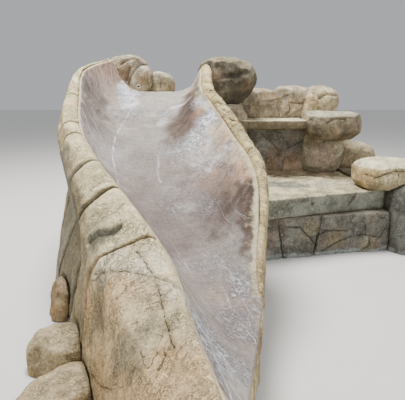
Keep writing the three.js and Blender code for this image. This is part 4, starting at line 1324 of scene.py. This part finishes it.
# strokes of the trowel down the walls, felt more than seen
strokeHeights = np.array([
    fractalNoise(Vector((a * 9 + 40, b * 1.6, 0)), 1.0, 2.0, 3) if high > 0.05 else 0
    for a, b, high in zip(flow[:, 0] + 0.8 * np.abs(flow[:, 1]), flow[:, 1], flow[:, 2])])
strokeHeights *= chute["strokeDepth"] * np.clip((flow[:, 2] - 0.05) / 0.25, 0, 1)
strokeHeights *= np.clip((reachTo(drawn, rims, 0.1) - 0.01) / 0.08, 0, 1)
writePlaces(trough, readPlaces(trough) + readNormals(trough) * strokeHeights[:, None])
makeActive(trough)
bpy.ops.object.shade_smooth_by_angle(angle=math.radians(50))

material, tree, shader = newMaterial("trowelledPlaster", 0.75)
point = addNode(tree, "ShaderNodeTexCoord").outputs["Object"]
drawn = attributeNode(tree, "drawn")["Vector"]
flowVector = attributeNode(tree, "flow")["Vector"]
split = addNode(tree, "ShaderNodeSeparateXYZ")
join(tree, flowVector, split.inputs[0])
# both walls share one pattern, mirrored at the deepest line
mirrored = addNode(tree, "ShaderNodeCombineXYZ")
join(tree, split.outputs["X"], mirrored.inputs[0])
join(tree, mathNode(tree, "ABSOLUTE", split.outputs["Y"]), mirrored.inputs[1])


def stretched(vector, along, across, turn=0):
    # the flow drawn out, so that a noise on it runs along, across or at a slant to the trough
    bent = groupNode(tree, wobblePoint, Point=vector, Scale=4.0, Amount=0.12)["Point"]
    turned = addNode(tree, "ShaderNodeMapping")
    turned.inputs["Rotation"].default_value = (0, 0, math.radians(turn))
    join(tree, bent, turned.inputs["Vector"])
    drawnOut = addNode(tree, "ShaderNodeMapping")
    drawnOut.inputs["Scale"].default_value = (along, across, 0)
    join(tree, turned.outputs[0], drawnOut.inputs["Vector"])
    return drawnOut.outputs[0]


onWall = rampNode(tree, split.outputs["Z"], 0.06, 0.3)
folded = mirrored.outputs[0]
runs = noiseNode(tree, stretched(folded, 30, 3.2, -36), 1.0, 6, 0.75, 0.5)
wisps = noiseNode(tree, stretched(folded, 12, 1.6, -36), 1.0, 6, 0.7, 0.6)
strokes = noiseNode(tree, stretched(flowVector, 62, 5), 1.0, 5, 0.75, 0.3)
sweeps = noiseNode(tree, stretched(flowVector, 4, 34), 1.0, 5, 0.7, 0.3)
grit = noiseNode(tree, point, 80, 3, 0.8)
mottle = noiseNode(tree, point, 26, 6, 0.78, 0.5)
patches = rampNode(tree, noiseNode(tree, point, 2.6, 6, 0.66, 0.6), 0.38, 0.6)
colour = mixColour(tree, patches, chute["body"], chute["pale"])
bruise = rampNode(tree, noiseNode(tree, point, 3.8, 6, 0.7, 0.8), 0.48, 0.66)
colour = mixColour(tree, times(tree, bruise, 0.6), colour, chute["mauve"])
rust = rampNode(tree, wisps, 0.46, 0.64)
colour = mixColour(tree, times(tree, rust, onWall, 0.6), colour, chute["brown"])
streaky = rampNode(tree, wisps, 0.36, 0.58, 0.84, 1.0)
stained = attributeNode(tree, "stainShare")["Fac"]
ragged = times(tree, stained, flip(tree, stained), centred(tree, mottle), 5.0)
share = times(tree, mathNode(tree, "ADD", stained, ragged, True), streaky)
colour = mixColour(tree, share, colour, attributeNode(tree, "stainTone")["Color"])
# runs down the walls, trowel strokes and grit
dark = times(tree, rampNode(tree, runs, 0.5, 0.64), onWall, rampNode(tree, stained, 0.0, 1.0, 0.3, 0.6))
colour = mixColour(tree, dark, colour, chute["umber"])
onFloor = flip(tree, onWall)
colour = mixColour(tree, onWall, colour, shadeBy(tree, colour, runs, 0.38, 0.62, 1.36, 0.66))
colour = mixColour(tree, onFloor, colour, shadeBy(tree, colour, strokes, 0.36, 0.64, 0.84, 1.14))
colour = shadeBy(tree, colour, sweeps, 0.34, 0.66, 0.93, 1.06)
colour = shadeBy(tree, colour, mottle, 0.36, 0.64, 0.8, 1.2)
colour = shadeBy(tree, colour, grit, 0.34, 0.66, 0.82, 1.18)
# lime: a thin haze of flecks everywhere and crumpled crusts where it lies thick
thick = attributeNode(tree, "lime")["Fac"]
fleck = noiseNode(tree, point, 36, 5, 0.8, 0.8)
crumple = creases(tree, noiseNode(tree, point, 17, 4, 0.65, 2.0), 0.01, 0.05)
shadow = times(tree, thick, rampNode(tree, fleck, 0.5, 0.42), 0.8)
colour = mixColour(tree, shadow, colour, chute["umber"])
dense = mathNode(tree, "ADD", fleck, times(tree, thick, thick, 0.12))
crust = mathNode(tree, "MAXIMUM", rampNode(tree, dense, 0.54, 0.62), crumple)
colour = mixColour(tree, times(tree, thick, crust, 0.9), colour, chute["white"])
haze = rampNode(tree, noiseNode(tree, point, 9, 7, 0.8, 0.6), 0.5, 0.66)
haze = times(tree, haze, rampNode(tree, fleck, 0.5, 0.6), rampNode(tree, stained, 0.2, 0.9, 0.42, 0.08))
colour = mixColour(tree, haze, colour, chute["white"])
# fine pale scratches left by riders
scratches = noiseNode(tree, stretched(flowVector, 0.8, 110), 1.0, 2, 0.5)
worn = rampNode(tree, noiseNode(tree, point, 3.2, 3, 0.6), 0.46, 0.6)
lowerHalf = rampNode(tree, split.outputs["X"], 2.6, 3.4, 0.1, 0.6)
scratched = times(tree, rampNode(tree, scratches, 0.58, 0.68), worn, lowerHalf)
colour = mixColour(tree, scratched, colour, chute["white"])
crooked = groupNode(tree, wobblePoint, Point=drawn, Scale=11.0, Amount=0.05)["Point"]
broken = times(tree, rampNode(tree, noiseNode(tree, point, 36, 4, 0.7), 0.36, 0.56),
               rampNode(tree, noiseNode(tree, point, 7, 3, 0.6), 0.38, 0.56, 0.25, 1.0))
for width, amount, line in chute["streaks"]:
    lime = flip(tree, rampNode(tree, nearestLine(tree, crooked, [line]), width * 0.4, width * 1.6))
    colour = mixColour(tree, times(tree, lime, broken, amount), colour, chute["white"])
# the mortar of the copings is smeared over the edge of the plaster
edge = mathNode(tree, "ADD", attributeNode(tree, "rim")["Fac"],
                times(tree, centred(tree, noiseNode(tree, point, 11, 5, 0.7)), 0.12))
smear = flip(tree, rampNode(tree, edge, 0.02, 0.06))
smeared = shadeBy(tree, chute["rim"], mottle, 0.36, 0.64, 0.74, 1.22)
colour = mixColour(tree, times(tree, smear, 0.9), colour, smeared)
join(tree, colour, shader.inputs["Base Color"])
height = mathNode(tree, "ADD", times(tree, strokes, 0.5), times(tree, grit, 0.25))
pitted = mathNode(tree, "ADD", times(tree, mottle, 0.5), times(tree, runs, onWall, 0.7))
height = mathNode(tree, "ADD", height, pitted)
height = mathNode(tree, "ADD", height, times(tree, thick, crust, 0.8))
bumpFrom(tree, shader, height, 0.012)
trough.data.materials.append(material)
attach(trough, "root")
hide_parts(chute["node"])
print("chute plastered,", triangleCount(trough), "triangles")

# the rough concrete inside, hardly seen between the stones
concrete, tree, shader = newMaterial("roughConcrete", 0.92)
point = addNode(tree, "ShaderNodeTexCoord").outputs["Object"]
cloud = rampNode(tree, noiseNode(tree, point, 5, 6, 0.65), 0.35, 0.65)
colour = mixColour(tree, cloud, paint(84, 77, 68), paint(116, 108, 96))
pores = rampNode(tree, noiseNode(tree, point, 80, 3, 0.7), 0.6, 0.7)
colour = mixColour(tree, times(tree, pores, 0.5), colour, paint(52, 48, 43))
join(tree, colour, shader.inputs["Base Color"])
bumpFrom(tree, shader, noiseNode(tree, point, 60, 4, 0.7), 0.006)
for name in cores:
    nodes[name].data.materials.clear()
    nodes[name].data.materials.append(concrete)

# the water inlet, a pale plastic fitting gone dull with lime
plastic, tree, shader = newMaterial("limedPlastic", 0.55)
point = addNode(tree, "ShaderNodeTexCoord").outputs["Object"]
lime = rampNode(tree, noiseNode(tree, point, 45, 5, 0.65), 0.4, 0.65)
colour = mixColour(tree, lime, paint(226, 222, 214), paint(186, 178, 166))
# its bore and mouth are painted near black: painted shade inside the pipe
bore = {"Start": (-1.385, 1.90, 1.802), "End": (-1.385, 2.05, 1.762)}
fromAxis = groupNode(tree, lineDistance, Point=point, **bore)["Distance"]
colour = mixColour(tree, rampNode(tree, fromAxis, 0.0165, 0.0145), colour, paint(38, 33, 28))
join(tree, colour, shader.inputs["Base Color"])
bumpFrom(tree, shader, noiseNode(tree, point, 160, 3, 0.6), 0.001)
nodes["water_inlet_fitting"].data.materials.clear()
nodes["water_inlet_fitting"].data.materials.append(plastic)
print("cores and inlet painted")
